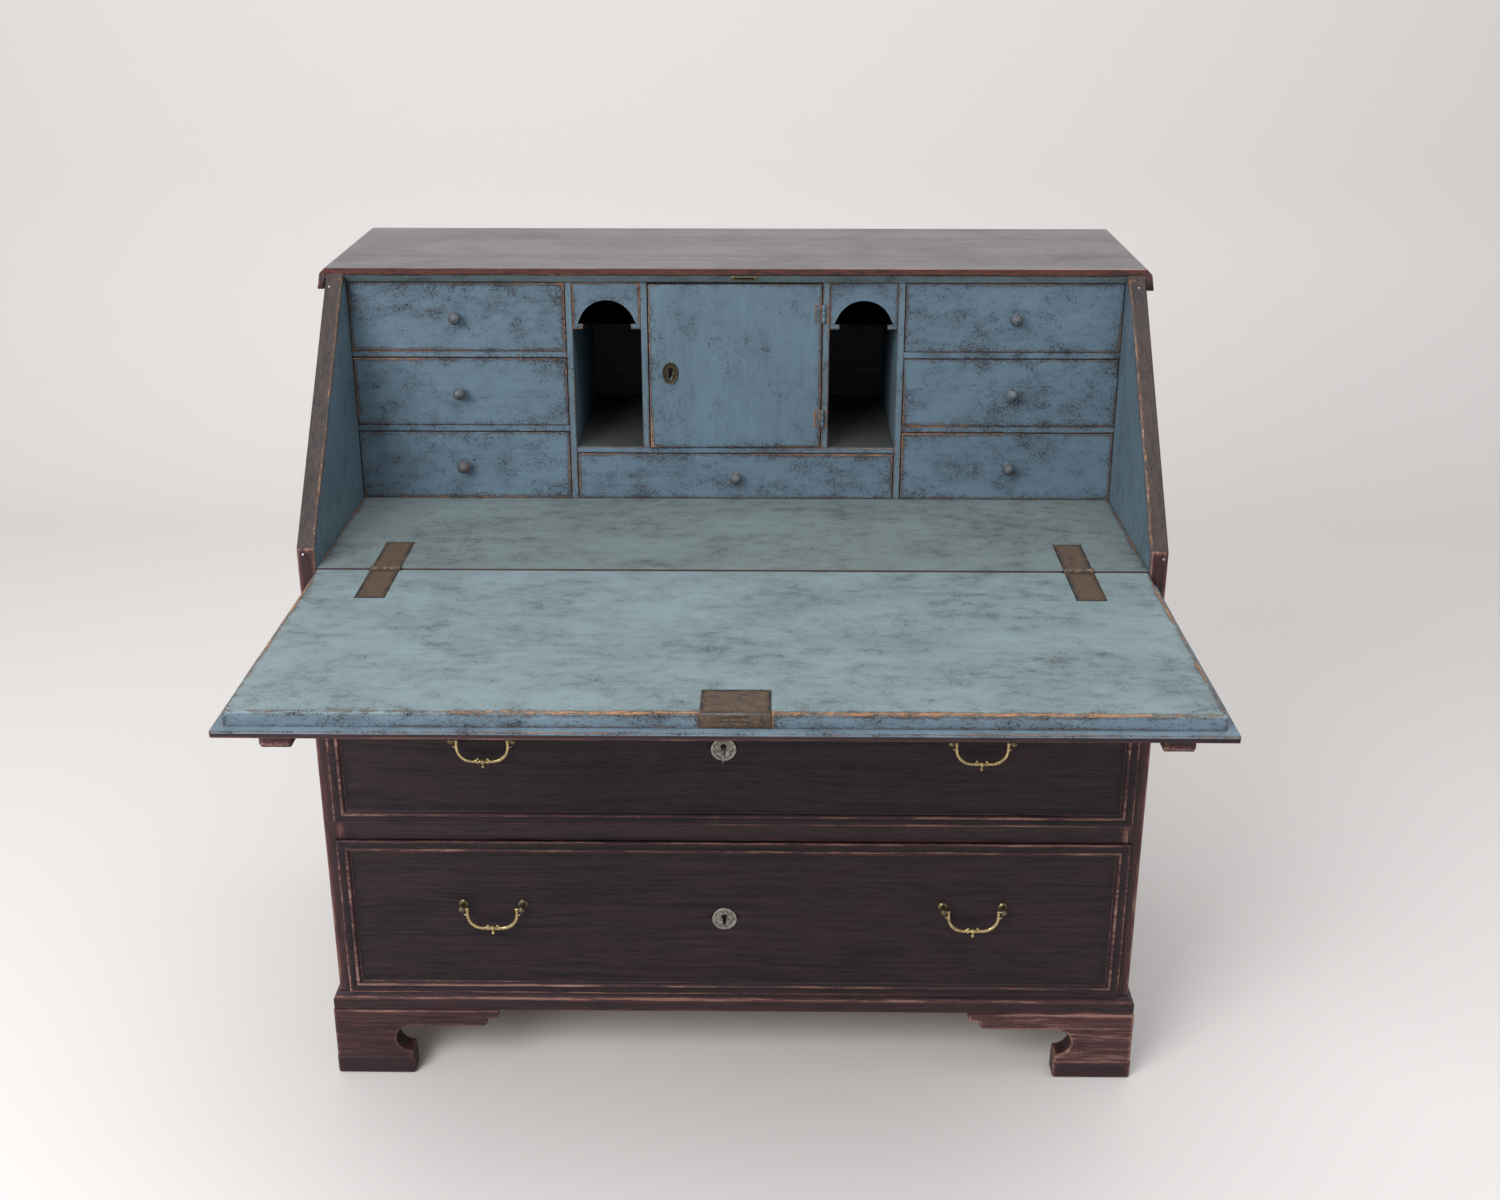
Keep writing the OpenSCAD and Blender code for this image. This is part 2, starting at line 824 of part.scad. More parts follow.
module door_hinge_fixed_leaves() {
    third = door_leaf_h / 6;
    half = door_leaf_h / 2;
    color(iron) at_front() for (z = door_leaf_z) {
        for (part = [[z - half, z - third - gap], [z + third + gap, z + half]])
            difference() {
                union() {
                    board([door_half + 1, door_half + 8], [gallery_y - 1.2, gallery_y], part);
                    translate([door_axis[0], door_axis[1], part[0]])
                        cylinder(r = 2.2, h = part[1] - part[0]);
                }
                translate([door_axis[0], door_axis[1], part[0] - 1])
                    cylinder(r = 1.05, h = part[1] - part[0] + 2);
            }
        translate([door_axis[0], door_axis[1], z - half + 0.5]) cylinder(r = 1, h = door_leaf_h - 1);
    }
}

// Box lock on the inside and an oval plate outside
module door_lock() {
    x = -door_half + 30;
    inner_y = gallery_y + door_t;
    color(brass) on_door() {
        difference() {
            intersection() {
                rod_y(x - 5, [gallery_y - 1.5, gallery_y], door_lock_z, 16);
                rod_y(x + 5, [gallery_y - 1.5, gallery_y], door_lock_z, 16);
            }
            keyhole(x, door_lock_z, [gallery_y - 2, gallery_y + 1]);
        }
        difference() {
            board([x - 24, x + 24], [inner_y, inner_y + 9], [door_lock_z - 22, door_lock_z + 22]);
            rod_y(x, [inner_y - 1, inner_y + 8], door_lock_z + keyhole_up, 9);
        }
    }
}

// ---- the pieces ----

side_left();
side_right();
top_board();
top_mouldings();
bottom_board();
writing_board();
drawer_rails();
drawer_runners();
loper_guides();
back_boards();
plinth_moulding();
front_feet();
rear_feet();
gallery_partitions();
gallery_shelves();
valances();
striker_plate();
fall_hinge_fixed_leaves();
door_hinge_fixed_leaves();
fall_board();
fall_hinge_moving_leaves();
fall_lock();
loper_left();
loper_right();
lower_drawer_front();
lower_drawer_box();
lower_drawer_lock();
handle_posts(lower_post_z);  // lower_drawer_handle_posts
bail(-1, lower_post_z);  // lower_bail_left
bail(1, lower_post_z);  // lower_bail_right
middle_drawer_front();
middle_drawer_box();
middle_drawer_lock();
handle_posts(middle_post_z);  // middle_drawer_handle_posts
bail(-1, middle_post_z);  // middle_bail_left
bail(1, middle_post_z);  // middle_bail_right
middle_lock_bolt();
key();
top_drawer_front();
top_drawer_box();
handle_posts(top_post_z);  // top_drawer_handle_posts
bail(-1, top_post_z);  // top_bail_left
bail(1, top_post_z);  // top_bail_right
gallery_drawer(-1, 1);  // gallery_drawer_left_1
gallery_drawer(-1, 2);  // gallery_drawer_left_2
gallery_drawer(-1, 3);  // gallery_drawer_left_3
gallery_drawer(1, 1);  // gallery_drawer_right_1
gallery_drawer(1, 2);  // gallery_drawer_right_2
gallery_drawer(1, 3);  // gallery_drawer_right_3
gallery_drawer_centre();
gallery_knob(-1, 1);  // knob_left_1
gallery_knob(-1, 2);  // knob_left_2
gallery_knob(-1, 3);  // knob_left_3
gallery_knob(1, 1);  // knob_right_1
gallery_knob(1, 2);  // knob_right_2
gallery_knob(1, 3);  // knob_right_3
knob(0, desk_h + centre_h / 2);  // knob_centre
door_panel();
door_hinge_moving_leaves();
door_lock();
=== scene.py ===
# %% [markdown]
# # A slant-front writing bureau
# The desk is old painted and polished woodwork: near-black fronts with rubbed red-brown
# edges, and a blue-green painted inside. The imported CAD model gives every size, place and
# joint. This script gives each board, moulding and fitting its worn shape and its finish.

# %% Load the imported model
import math

import bmesh
import bpy
import numpy as np
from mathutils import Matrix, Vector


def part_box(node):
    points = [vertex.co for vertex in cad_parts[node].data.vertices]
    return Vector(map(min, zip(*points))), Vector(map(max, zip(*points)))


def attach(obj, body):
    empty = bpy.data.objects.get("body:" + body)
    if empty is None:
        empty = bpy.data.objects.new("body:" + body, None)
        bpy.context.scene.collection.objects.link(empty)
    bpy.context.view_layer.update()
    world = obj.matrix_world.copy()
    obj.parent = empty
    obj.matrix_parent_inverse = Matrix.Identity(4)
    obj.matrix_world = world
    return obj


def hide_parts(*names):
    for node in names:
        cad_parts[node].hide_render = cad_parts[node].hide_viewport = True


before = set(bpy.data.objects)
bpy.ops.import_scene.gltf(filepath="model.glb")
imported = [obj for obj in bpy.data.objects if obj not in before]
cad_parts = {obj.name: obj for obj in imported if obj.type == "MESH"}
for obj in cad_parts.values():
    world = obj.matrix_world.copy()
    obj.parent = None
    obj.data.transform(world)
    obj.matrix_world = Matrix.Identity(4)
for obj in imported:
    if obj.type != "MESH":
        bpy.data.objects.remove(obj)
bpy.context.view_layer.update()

# %% [markdown]
# ## Measures
# The boards are worked out in millimetres from the carcase's front plane (y = 0), the
# middle of its width (x = 0) and the floor (z = 0), the way a joiner would set them out.
# The CAD boxes give the main ones, so the pieces sit where the model says.

# %% Measures from the CAD boxes
def box_mm(node):
    """The lowest and highest corner of a CAD node, in millimetres from the front plane."""
    low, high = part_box(node)
    shift = np.array([0.0, front_plane, 0.0])
    return (np.array(low) - shift) * 1000.0, (np.array(high) - shift) * 1000.0


front_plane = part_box("side_left")[0].y
side_lo, side_hi = box_mm("side_right")
half_w = side_hi[0]
in_half = side_lo[0]
depth = side_hi[1]
total_h = box_mm("top_board")[1][2]
desk_h = box_mm("writing_board")[1][2]
fall_lo, fall_hi = box_mm("fall_board")
slope = math.radians(47.9)
fall_thick = 17.1              # of the fall, square to its face
print("carcase", 2 * half_w, "wide,", depth, "deep; writing height", desk_h)


# %% Points along the slant
def slant(along, out):
    """The (y, z) of a point that far up the closed fall from its hinge, and that far outwards."""
    c, s = math.cos(slope), math.sin(slope)
    return along * c - out * s, desk_h + along * s + out * c


# %% [markdown]
# ## Surfaces
# Every piece is one closed skin worked out with numpy. Four kinds of skin make the whole
# desk: a plank (a box whose arrises are rubbed round), a slab (any outline with a
# thickness), a loft (rows of corners, such as a moulding carried round a frame) and a
# turned or bent rod. Each skin also carries two values at every point: how close it is to
# an arris, where the finish wears through, and how deep in a corner or hole, where the
# finishes darken it, partly as dirt and partly as painted shade.

# %% Wandering values
def wander(points, size, seed):
    """Values from 0 to 1 that drift over about size mm: the mean of seven sine waves that
    run in seeded directions, stretched to fill the range."""
    rng = np.random.default_rng(seed)
    waves = rng.normal(size=(7, 3)) * (math.tau / size / 1.6)
    phases = rng.uniform(0.0, math.tau, 7)
    mean = np.sin(points @ waves.T + phases).mean(-1)
    return np.clip(0.5 + 1.1 * mean, 0.0, 1.0)


def nearness(distance, reach=13.0):
    """1 on an arris, falling to 0 at reach mm from it."""
    return np.clip(1.0 - distance / reach, 0.0, 1.0)


# %% Grid faces
def grid_faces(rows, columns, loop_rows=False, loop_columns=False):
    """Quads between neighbouring points of a grid, joined end to end where it loops."""
    r = np.arange(rows if loop_rows else rows - 1)[:, None]
    c = np.arange(columns if loop_columns else columns - 1)[None, :]
    r1, c1 = (r + 1) % rows, (c + 1) % columns
    quads = [r * columns + c, r * columns + c1, r1 * columns + c1, r1 * columns + c]
    return np.stack(np.broadcast_arrays(*quads), -1).reshape(-1, 4)


def end_caps(rows, columns):
    """The two faces that close a grid of looped rows: its first row, turned over, and its last."""
    last = (rows - 1) * columns
    return [list(range(columns))[::-1], list(range(last, last + columns))]


# %% [markdown]
# A board that has been planed by hand and used for years has no sharp arris. A bevel would
# round all of it evenly. Here the rounding radius itself wanders along the board, so the edge
# is crisp in one place and soft in another.

# %% A plank
SHOULDERS = np.array([3.0, 7.0, 13.0])


def lattice_lines(lo, hi, rub, step):
    """Places of lattice lines: close together near both ends, where the arris is, and even
    between them."""
    near = np.concatenate([np.array([0.0, 0.3, 0.65, 1.0]) * rub, SHOULDERS])
    near = near[near < 0.48 * (hi - lo)]
    first, last = lo + near[-1], hi - near[-1]
    middle = np.linspace(first, last, max(int((last - first) / step), 1) + 1)
    return np.unique(np.round(np.concatenate([lo + near, middle, hi - near]), 4))


def plank(lo, hi, rub=1.6, wear=0.7, seed=1, step=45.0, reach=13.0):
    """A box with rubbed arrises. Points on the box are pulled to the nearest point of a
    smaller box inside it and pushed back out by the rubbing radius, which wanders."""
    lo, hi = np.array(lo, float), np.array(hi, float)
    rub = min(rub, 0.45 * (hi - lo).min())
    axes = [lattice_lines(lo[a], hi[a], rub, step) for a in range(3)]
    counts = np.array([len(a) for a in axes])
    quads = []
    for a, u, v in ((0, 1, 2), (1, 2, 0), (2, 0, 1)):
        for end in (0, counts[a] - 1):
            i, j = np.meshgrid(np.arange(counts[u]), np.arange(counts[v]), indexing="ij")
            place = np.empty((3,) + i.shape, int)
            place[a], place[u], place[v] = end, i, j
            code = np.ravel_multi_index(place, counts)
            face = np.stack([code[:-1, :-1], code[1:, :-1], code[1:, 1:], code[:-1, 1:]], -1)
            face = face.reshape(-1, 4)
            quads.append(face if end else face[:, ::-1])
    codes, faces = np.unique(np.concatenate(quads), return_inverse=True)
    faces = faces.reshape(-1, 4)
    place = np.unravel_index(codes, counts)
    q = np.stack([axes[a][place[a]] for a in range(3)], -1)
    radius = rub * (1.0 - wear * wander(q, 70.0, seed))[:, None]
    core = np.clip(q, lo + radius, hi - radius)
    away = q - core
    length = np.linalg.norm(away, axis=1, keepdims=True)
    points = core + radius * away / np.maximum(length, 1e-9)
    edge = np.sort(np.minimum(q - lo, hi - q), axis=1)[:, 1]
    return points, faces.tolist(), nearness(edge, reach), np.zeros(len(q))


# %% [markdown]
# A slab is for boards that are sawn to a shape, such as the slanted sides and the arched
# valances. A curve modifier could extrude the outline, but its corners would all be alike.
# Taking a running mean of the outline rounds each corner by as much as it was rubbed.

# %% Points round a sawn outline
def outline_stations(closed, run, rub, step):
    """Where along an outline its points are: close together about each sharp corner, and even
    between. Also gives the places of the sharp corners."""
    legs = np.diff(closed, axis=0)
    heading = np.arctan2(legs[:, 1], legs[:, 0])
    turn = (heading - np.roll(heading, 1) + math.pi) % math.tau - math.pi
    sharp = run[:-1][np.abs(turn) > 0.35]
    steps = np.concatenate([np.array([0.0, 0.35, 0.7, 1.0]) * rub, SHOULDERS])
    steps = np.concatenate([steps, -steps])
    total = run[-1]
    stations = np.concatenate([(sharp[:, None] + steps).ravel(), run[:-1], np.arange(0, total, step)])
    stations = np.sort(stations % total)
    return stations[np.diff(stations, prepend=-1.0) > 0.08], sharp


def slab_levels(span, rub, insets, step):
    """Heights of a slab's rings, and how far each is drawn in from the outline."""
    angle = np.linspace(0.0, math.pi / 2, 4)
    inset = np.concatenate([np.array(sorted(insets, reverse=True)) + rub, rub * (1 - np.sin(angle))])
    rise = np.concatenate([np.zeros(len(insets)), rub * (1 - np.cos(angle))])
    body = SHOULDERS[SHOULDERS < 0.45 * span]
    first = [rub, *body][-1]
    even = np.linspace(first, span - first, max(int((span - 2 * first) / step), 1) + 1)
    middle = np.unique(np.round(np.concatenate([body, even, span - body]), 4))
    middle = middle[(middle > rub + 0.05) & (middle < span - rub - 0.05)]
    heights = np.concatenate([rise, middle, span - rise[::-1]])
    return heights, np.concatenate([inset, np.zeros(len(middle)), inset[::-1]])


# %% A slab
def slab(outline, axis, lo, hi, rub=1.6, wear=0.7, seed=1, step=45.0, insets=(3.0, 12.0),
         reach=13.0):
    """An outline with a thickness. Each point of the outline is the mean of the outline over
    a short run to either side, which turns a corner into a parabola; the run wanders in
    length, so the corners are rubbed more in some places. Rings towards the two faces shrink
    inwards along a quarter circle, and then in the face itself."""
    corners = np.asarray(outline, float)
    if axis == "y":
        corners = corners[:, ::-1]
    following = np.roll(corners, -1, axis=0)
    if (corners[:, 0] * following[:, 1] - following[:, 0] * corners[:, 1]).sum() < 0:
        corners = corners[::-1]
    closed = np.vstack([corners, corners[:1]])
    run = np.concatenate([[0.0], np.cumsum(np.linalg.norm(np.diff(closed, axis=0), axis=1))])
    total = run[-1]
    stations, sharp = outline_stations(closed, run, rub, step)
    # running sums of the outline, so that a mean over any run is one subtraction
    margin, fine = 40.0, 0.2
    s = np.arange(-margin, total + margin, fine)
    path = np.stack([np.interp(s % total, run, closed[:, k]) for k in (0, 1)], -1)
    running = np.cumsum(path, axis=0) * fine
    heights, inset = slab_levels(hi - lo, rub, insets, step)
    at = np.stack([np.interp(stations, run, closed[:, k]) for k in (0, 1)], -1)
    rings, count = len(heights), len(stations)
    spot = np.concatenate([
        np.broadcast_to(at, (rings, count, 2)),
        np.broadcast_to(heights[:, None, None] + lo, (rings, count, 1)),
    ], -1)
    half = rub * (1.15 - wear * wander(spot, 60.0, seed))
    half = np.maximum(np.maximum(half, 0.3), 1.5 * inset[:, None])
    half = np.minimum(half, margin - 1.0)
    ahead, behind = stations + half, stations - half
    mean, chord = [], []
    for k in (0, 1):
        mean.append((np.interp(ahead, s, running[:, k]) - np.interp(behind, s, running[:, k])) / (2 * half))
        chord.append(np.interp(ahead, s, path[:, k]) - np.interp(behind, s, path[:, k]))
    size = np.maximum(np.hypot(*chord), 1e-9)
    flat = [mean[0] - inset[:, None] * chord[1] / size, mean[1] + inset[:, None] * chord[0] / size]
    height = np.broadcast_to(heights[:, None] + lo, flat[0].shape)
    order = {"x": (2, 0, 1), "y": (1, 2, 0), "z": (0, 1, 2)}[axis]
    grid = np.stack([flat[0], flat[1], height], -1)[..., order]
    gap = np.abs(stations[:, None] - sharp[None, :])
    corner = np.minimum(gap, total - gap).min(1) if len(sharp) else np.full(count, 99.0)
    end = np.minimum(heights, hi - lo - heights)
    edge = np.where(inset[:, None] > rub, inset[:, None] - rub, np.minimum(corner, end[:, None]))
    faces = grid_faces(rings, count, loop_columns=True).tolist() + end_caps(rings, count)
    return grid.reshape(-1, 3), faces, nearness(edge, reach).ravel(), np.zeros(rings * count)


# %% [markdown]
# Mouldings and the moulded drawer fronts are lofts. A joiner runs one section along each edge
# and mitres the corners. The loft does the same, and mitres itself, because every row of the
# section uses the same shares of each leg.

# %% A loft
def loft(rows, arris, recess, loop_path=True, loop_rows=False, step=45.0, worn=0.0, seed=1):
    """Rows of path corners, joined by straight legs: each leg has points close together near
    its ends and even between, and the same share of the way along in every row, so mitres
    come out by themselves. worn pushes the arrises back by a wandering depth."""
    rows = np.asarray(rows, float)
    ends = np.roll(rows, -1, axis=1) if loop_path else rows[:, 1:]
    starts = rows if loop_path else rows[:, :-1]
    lengths = np.linalg.norm(ends[0] - starts[0], axis=1)
    parts = []
    for leg, length in enumerate(lengths):
        share = lattice_lines(0.0, length, 1.5, step)[:-1, None] / length
        parts.append(starts[:, leg, None] + share * (ends[:, leg] - starts[:, leg])[:, None])
    if not loop_path:
        parts.append(rows[:, -1:])
    grid = np.concatenate(parts, axis=1)
    if worn:
        push = worn * np.asarray(arris)[:, None] * wander(grid, 45.0, seed)
        grid = grid + push[..., None] * np.array([0.0, 1.0, 0.0])
    count = grid.shape[1]
    faces = grid_faces(len(rows), count, loop_rows, loop_path).tolist()
    if not loop_rows and loop_path:
        faces += end_caps(len(rows), count)
    if loop_rows and not loop_path:
        faces.append(list(range(0, len(rows) * count, count)))
        faces.append(list(range(count - 1, len(rows) * count, count))[::-1])
    spread = np.ones(count)
    flat = (np.asarray(arris, float)[:, None] * spread).ravel()
    deep = (np.asarray(recess, float)[:, None] * spread).ravel()
    return grid.reshape(-1, 3), faces, flat, deep


def unworn(skin, axis, place):
    """The same skin without wear near one edge, where it meets another board."""
    points, faces, arris, recess = skin
    near = np.clip((np.abs(points[:, axis] - place) - 3.0) / 10.0, 0.0, 1.0)
    return points, faces, arris * near, recess


def rectangle(x0, x1, z0, z1, y):
    """Four corners of an upright rectangle at one depth, anticlockwise from the front."""
    return [[x0, y, z0], [x1, y, z0], [x1, y, z1], [x0, y, z1]]


# %% [markdown]
# Knobs, posts, screws and the key's stem come off a lathe, so each is a profile spun round its
# axis. The bails and the key's bow are bent rods: rings that follow a path.

# %% Turned pieces
def turned(profile, centre, axis, segments=40, worn=None):
    """A profile of (distance, radius) spun round an axis through centre: each point is the
    centre, plus the distance along the axis, plus the radius in a direction that goes once
    round it."""
    profile = np.asarray(profile, float)
    angle = np.arange(segments) * math.tau / segments
    forward = np.array(axis, float)
    side = np.cross(forward, [0.0, 0.0, 1.0] if abs(forward[2]) < 0.9 else [1.0, 0.0, 0.0])
    side /= np.linalg.norm(side)
    other = np.cross(forward, side)
    ring = np.cos(angle)[:, None] * side + np.sin(angle)[:, None] * other
    grid = np.array(centre) + profile[:, :1, None] * forward + profile[:, 1:, None] * ring
    faces = grid_faces(len(profile), segments, loop_columns=True).tolist() + end_caps(len(profile), segments)
    arris = np.zeros(len(profile)) if worn is None else np.asarray(worn, float)
    points = grid.reshape(-1, 3)
    return points, faces, np.repeat(arris, segments), np.zeros(len(points))


# %% Arcs and bent rods
def arc(radius, start, stop, count, centre=(0.0, 0.0)):
    """Points (a, b) on an arc: centre plus radius times (cosine, sine) of angles in degrees."""
    angle = np.radians(np.linspace(start, stop, count))
    return np.stack([centre[0] + radius * np.cos(angle), centre[1] + radius * np.sin(angle)], -1)


def rod(path, radii, segments=16, squash=1.0, across=(0.0, 1.0, 0.0)):
    """A rod bent along a path that lies in the plane square to across. Its ring at each
    point is square to the path, with its own radius, and squash flattens it along across."""
    path, radii = np.asarray(path, float), np.asarray(radii, float)
    ahead = np.gradient(path, axis=0)
    ahead /= np.linalg.norm(ahead, axis=1, keepdims=True)
    across = np.array(across)
    side = np.cross(ahead, across)
    side /= np.linalg.norm(side, axis=1, keepdims=True)
    angle = np.arange(segments) * math.tau / segments
    ring = (
        np.cos(angle)[None, :, None] * side[:, None]
        + squash * np.sin(angle)[None, :, None] * across
    )
    grid = path[:, None] + radii[:, None, None] * ring
    faces = grid_faces(len(path), segments, loop_columns=True).tolist() + end_caps(len(path), segments)
    points = grid.reshape(-1, 3)
    return points, faces, np.zeros(len(points)), np.zeros(len(points))


# %% [markdown]
# ## Shader helpers
# The finishes are built from a handful of node groups: long wood grain, wear along the
# arrises, chipped and mottled paint, dust and dirt with painted shade in recesses, and
# tarnish. A few short functions keep the node code readable: each adds one node and gives
# back the socket to use next.

# %% Node helpers
def put(tree, kind, settings=None, **inputs):
    """Adds a node, with its settings and inputs; an input that is a socket is linked."""
    node = tree.nodes.new(kind)
    for name, value in (settings or {}).items():
        setattr(node, name, value)
    for name, value in inputs.items():
        feed(tree, node.inputs[name.replace("_", " ")], value)
    return node


def feed(tree, socket, value):
    """Links a socket to the input, or sets the input's own value."""
    if isinstance(value, bpy.types.NodeSocket):
        tree.links.new(value, socket)
    elif socket.type == "RGBA" and len(value) == 3:
        socket.default_value = (*value, 1.0)
    else:
        socket.default_value = value


def mix(tree, factor, a, b):
    """One colour over another."""
    node = tree.nodes.new("ShaderNodeMix")
    node.data_type = "RGBA"
    for index, value in ((0, factor), (6, a), (7, b)):
        feed(tree, node.inputs[index], value)
    return node.outputs[2]


def sums(tree, operation, a, b, clamp=False):
    """One step of arithmetic on values."""
    node = tree.nodes.new("ShaderNodeMath")
    node.operation = operation
    node.use_clamp = clamp
    feed(tree, node.inputs[0], a)
    feed(tree, node.inputs[1], b)
    return node.outputs[0]


def times(tree, a, b):
    """A product of two values."""
    return sums(tree, "MULTIPLY", a, b)


def plus(tree, a, b, clamp=False):
    """A sum of two values, kept within 0 and 1 if clamped."""
    return sums(tree, "ADD", a, b, clamp)


def minus(tree, a, b):
    """The first value less the second."""
    return sums(tree, "SUBTRACT", a, b)


def between(tree, value, low, high, to_low=0.0, to_high=1.0):
    """A soft step: to_low below low, to_high above high, smooth between."""
    node = put(tree, "ShaderNodeMapRange", {"interpolation_type": "SMOOTHSTEP"})
    for index, number in enumerate((value, low, high, to_low, to_high)):
        feed(tree, node.inputs[index], number)
    return node.outputs[0]


def noise(tree, vector, scale, detail=4.0, roughness=0.55, distortion=0.0):
    """Cloudy noise round 0.5."""
    node = put(
        tree, "ShaderNodeTexNoise", Vector=vector, Scale=scale, Detail=detail,
        Roughness=roughness, Distortion=distortion,
    )
    return node.outputs[0]


def stretched(tree, vector, factors):
    """The vector scaled along each axis: a small factor draws the pattern out that way."""
    node = put(tree, "ShaderNodeVectorMath", {"operation": "MULTIPLY"})
    feed(tree, node.inputs[0], vector)
    feed(tree, node.inputs[1], factors)
    return node.outputs[0]


def attribute(tree, name):
    """A value that the mesh carries at each point."""
    return put(tree, "ShaderNodeAttribute", {"attribute_name": name}).outputs["Fac"]


# %% Node groups
def new_group(name, inputs, outputs):
    """An empty shader node group with named sockets, and its two end nodes."""
    tree = bpy.data.node_groups.new(name, "ShaderNodeTree")
    for label, kind, value in inputs:
        socket = tree.interface.new_socket(label, in_out="INPUT", socket_type=kind)
        socket.default_value = value
    for label in outputs:
        tree.interface.new_socket(label, in_out="OUTPUT", socket_type="NodeSocketFloat")
    return tree, tree.nodes.new("NodeGroupInput").outputs, tree.nodes.new("NodeGroupOutput").inputs


def place_group(tree, group, **inputs):
    """Puts a group into a material, with its own values."""
    node = tree.nodes.new("ShaderNodeGroup")
    node.node_tree = group
    for name, value in inputs.items():
        feed(tree, node.inputs[name], value)
    return node.outputs


FLOAT, VECTOR = "NodeSocketFloat", "NodeSocketVector"


# %% [markdown]
# Grain runs the length of a board. Noise is drawn out along one axis by a small factor, and
# first nudged by a broad noise, so the lines waver as they do in real timber.

# %% Grain
def make_grain():
    """Wood grain: soft bands, fine streaks and open pores, all drawn out along one axis."""
    tree, given, out = new_group(
        "long_grain",
        [("Along", VECTOR, (0.05, 1.0, 1.0))],
        ["Bands", "Streaks", "Pores"],
    )
    place = put(tree, "ShaderNodeTexCoord").outputs["Object"]
    bend = noise(tree, stretched(tree, place, (3.0, 3.0, 3.0)), 1.0, 2.0)
    nudge = put(tree, "ShaderNodeVectorMath", {"operation": "SCALE"})
    feed(tree, nudge.inputs[0], put(tree, "ShaderNodeCombineXYZ", X=bend, Y=bend, Z=bend).outputs[0])
    nudge.inputs["Scale"].default_value = 0.03
    moved = put(tree, "ShaderNodeVectorMath", {"operation": "ADD"})
    feed(tree, moved.inputs[0], place)
    feed(tree, moved.inputs[1], nudge.outputs[0])
    vector = stretched(tree, moved.outputs[0], given["Along"])
    feed(tree, out["Bands"], between(tree, noise(tree, vector, 28.0, 3.0, 0.5, 0.6), 0.35, 0.65))
    feed(tree, out["Streaks"], between(tree, noise(tree, vector, 190.0, 6.0, 0.7), 0.32, 0.68))
    feed(tree, out["Pores"], between(tree, noise(tree, vector, 620.0, 3.0, 0.6), 0.60, 0.70))
    return tree


# %% [markdown]
# A finish wears first at the arrises. The mesh says how near each point is to one; noise then
# makes the border of the worn part ragged, and two thresholds part bare wood from thin finish.

# %% Rubbed arrises
def make_rubbed():
    """Wear along the arrises: Bare is where the finish is gone, Thin the band beside it. Both
    are broken up by streaks along the grain and by fine specks."""
    tree, given, out = new_group(
        "rubbed_arris",
        [("Along", VECTOR, (0.3, 1.0, 1.0)), ("Bare from", FLOAT, 0.9), ("Thin from", FLOAT, 0.6),
         ("Ragged", FLOAT, 0.5)],
        ["Bare", "Thin"],
    )
    place = put(tree, "ShaderNodeTexCoord").outputs["Object"]
    vector = stretched(tree, place, given["Along"])
    streak = between(tree, noise(tree, vector, 260.0, 5.0, 0.7), 0.32, 0.68)
    speck = between(tree, noise(tree, place, 850.0, 3.0, 0.7), 0.35, 0.65)
    broad = between(tree, noise(tree, vector, 14.0, 2.0), 0.35, 0.65)
    both = plus(tree, times(tree, streak, 0.4), times(tree, broad, 0.35))
    both = plus(tree, both, times(tree, speck, 0.25))
    shift = times(tree, minus(tree, both, 0.5), given["Ragged"])
    value = plus(tree, attribute(tree, "arris"), shift)
    for name, start in (("Bare", given["Bare from"]), ("Thin", given["Thin from"])):
        high = plus(tree, start, 0.10)
        feed(tree, out[name], between(tree, value, start, high))
    return tree


# %% [markdown]
# Old paint isn't even. It sinks, darkens in drifts and flakes off in specks that crowd
# together. Four noises of different size are layered, and the flakes appear where the finest
# one and the drifts are high at once.

# %% Mottled paint
def make_mottle():
    """Old paint: Cloud drifts over a hand's width, Patch over a thumb's width, Chips are flakes
    a millimetre or two across that crowd where both are high and near arrises, and Speck is
    finer grit."""
    tree, given, out = new_group(
        "mottled_paint",
        [("Along", VECTOR, (0.3, 1.0, 1.0)), ("Chipped", FLOAT, 0.5)],
        ["Cloud", "Patch", "Chips", "Speck"],
    )
    place = put(tree, "ShaderNodeTexCoord").outputs["Object"]
    vector = stretched(tree, place, given["Along"])
    cloud = between(tree, noise(tree, vector, 11.0, 3.0, 0.6, 0.4), 0.32, 0.68)
    drift = noise(tree, vector, 48.0, 6.0, 0.72, 0.2)
    patch = between(tree, drift, 0.34, 0.68)
    flake = noise(tree, vector, 640.0, 4.0, 0.80)
    speck = between(tree, noise(tree, place, 900.0, 2.0, 0.8), 0.36, 0.64)
    level = plus(tree, flake, times(tree, drift, 0.50))
    level = plus(tree, level, times(tree, cloud, 0.05))
    level = plus(tree, level, times(tree, attribute(tree, "arris"), 0.07))
    start = minus(tree, 0.975, times(tree, given["Chipped"], 0.18))
    feed(tree, out["Cloud"], cloud)
    feed(tree, out["Patch"], patch)
    feed(tree, out["Chips"], between(tree, level, start, plus(tree, start, 0.07)))
    feed(tree, out["Speck"], speck)
    return tree


# %% [markdown]
# Dust stays where a cloth can't reach, and the recesses that the mesh marks are darkened
# too, partly as painted shade; metal goes dull except where it is touched. Both groups give
# masks that each finish uses with its own strength.

# %% Dirt, painted shade and tarnish
def make_dirt_and_shade():
    """Darkening in drifting patches of dust, and more in the recesses that the mesh marks: partly dirt,
    partly painted shade.
    """
    tree, given, out = new_group("dirt_and_recess_shade", [("Patchy", FLOAT, 0.3)], ["Dirt", "Speck"])
    place = put(tree, "ShaderNodeTexCoord").outputs["Object"]
    drift = between(tree, noise(tree, place, 9.0, 4.0, 0.6), 0.45, 0.75)
    drift = times(tree, drift, given["Patchy"])
    deep = attribute(tree, "recess")
    ragged = times(tree, deep, between(tree, noise(tree, place, 70.0, 3.0), 0.2, 0.6))
    feed(tree, out["Dirt"], plus(tree, drift, ragged, clamp=True))
    feed(tree, out["Speck"], between(tree, noise(tree, place, 900.0, 2.0), 0.66, 0.72))
    return tree


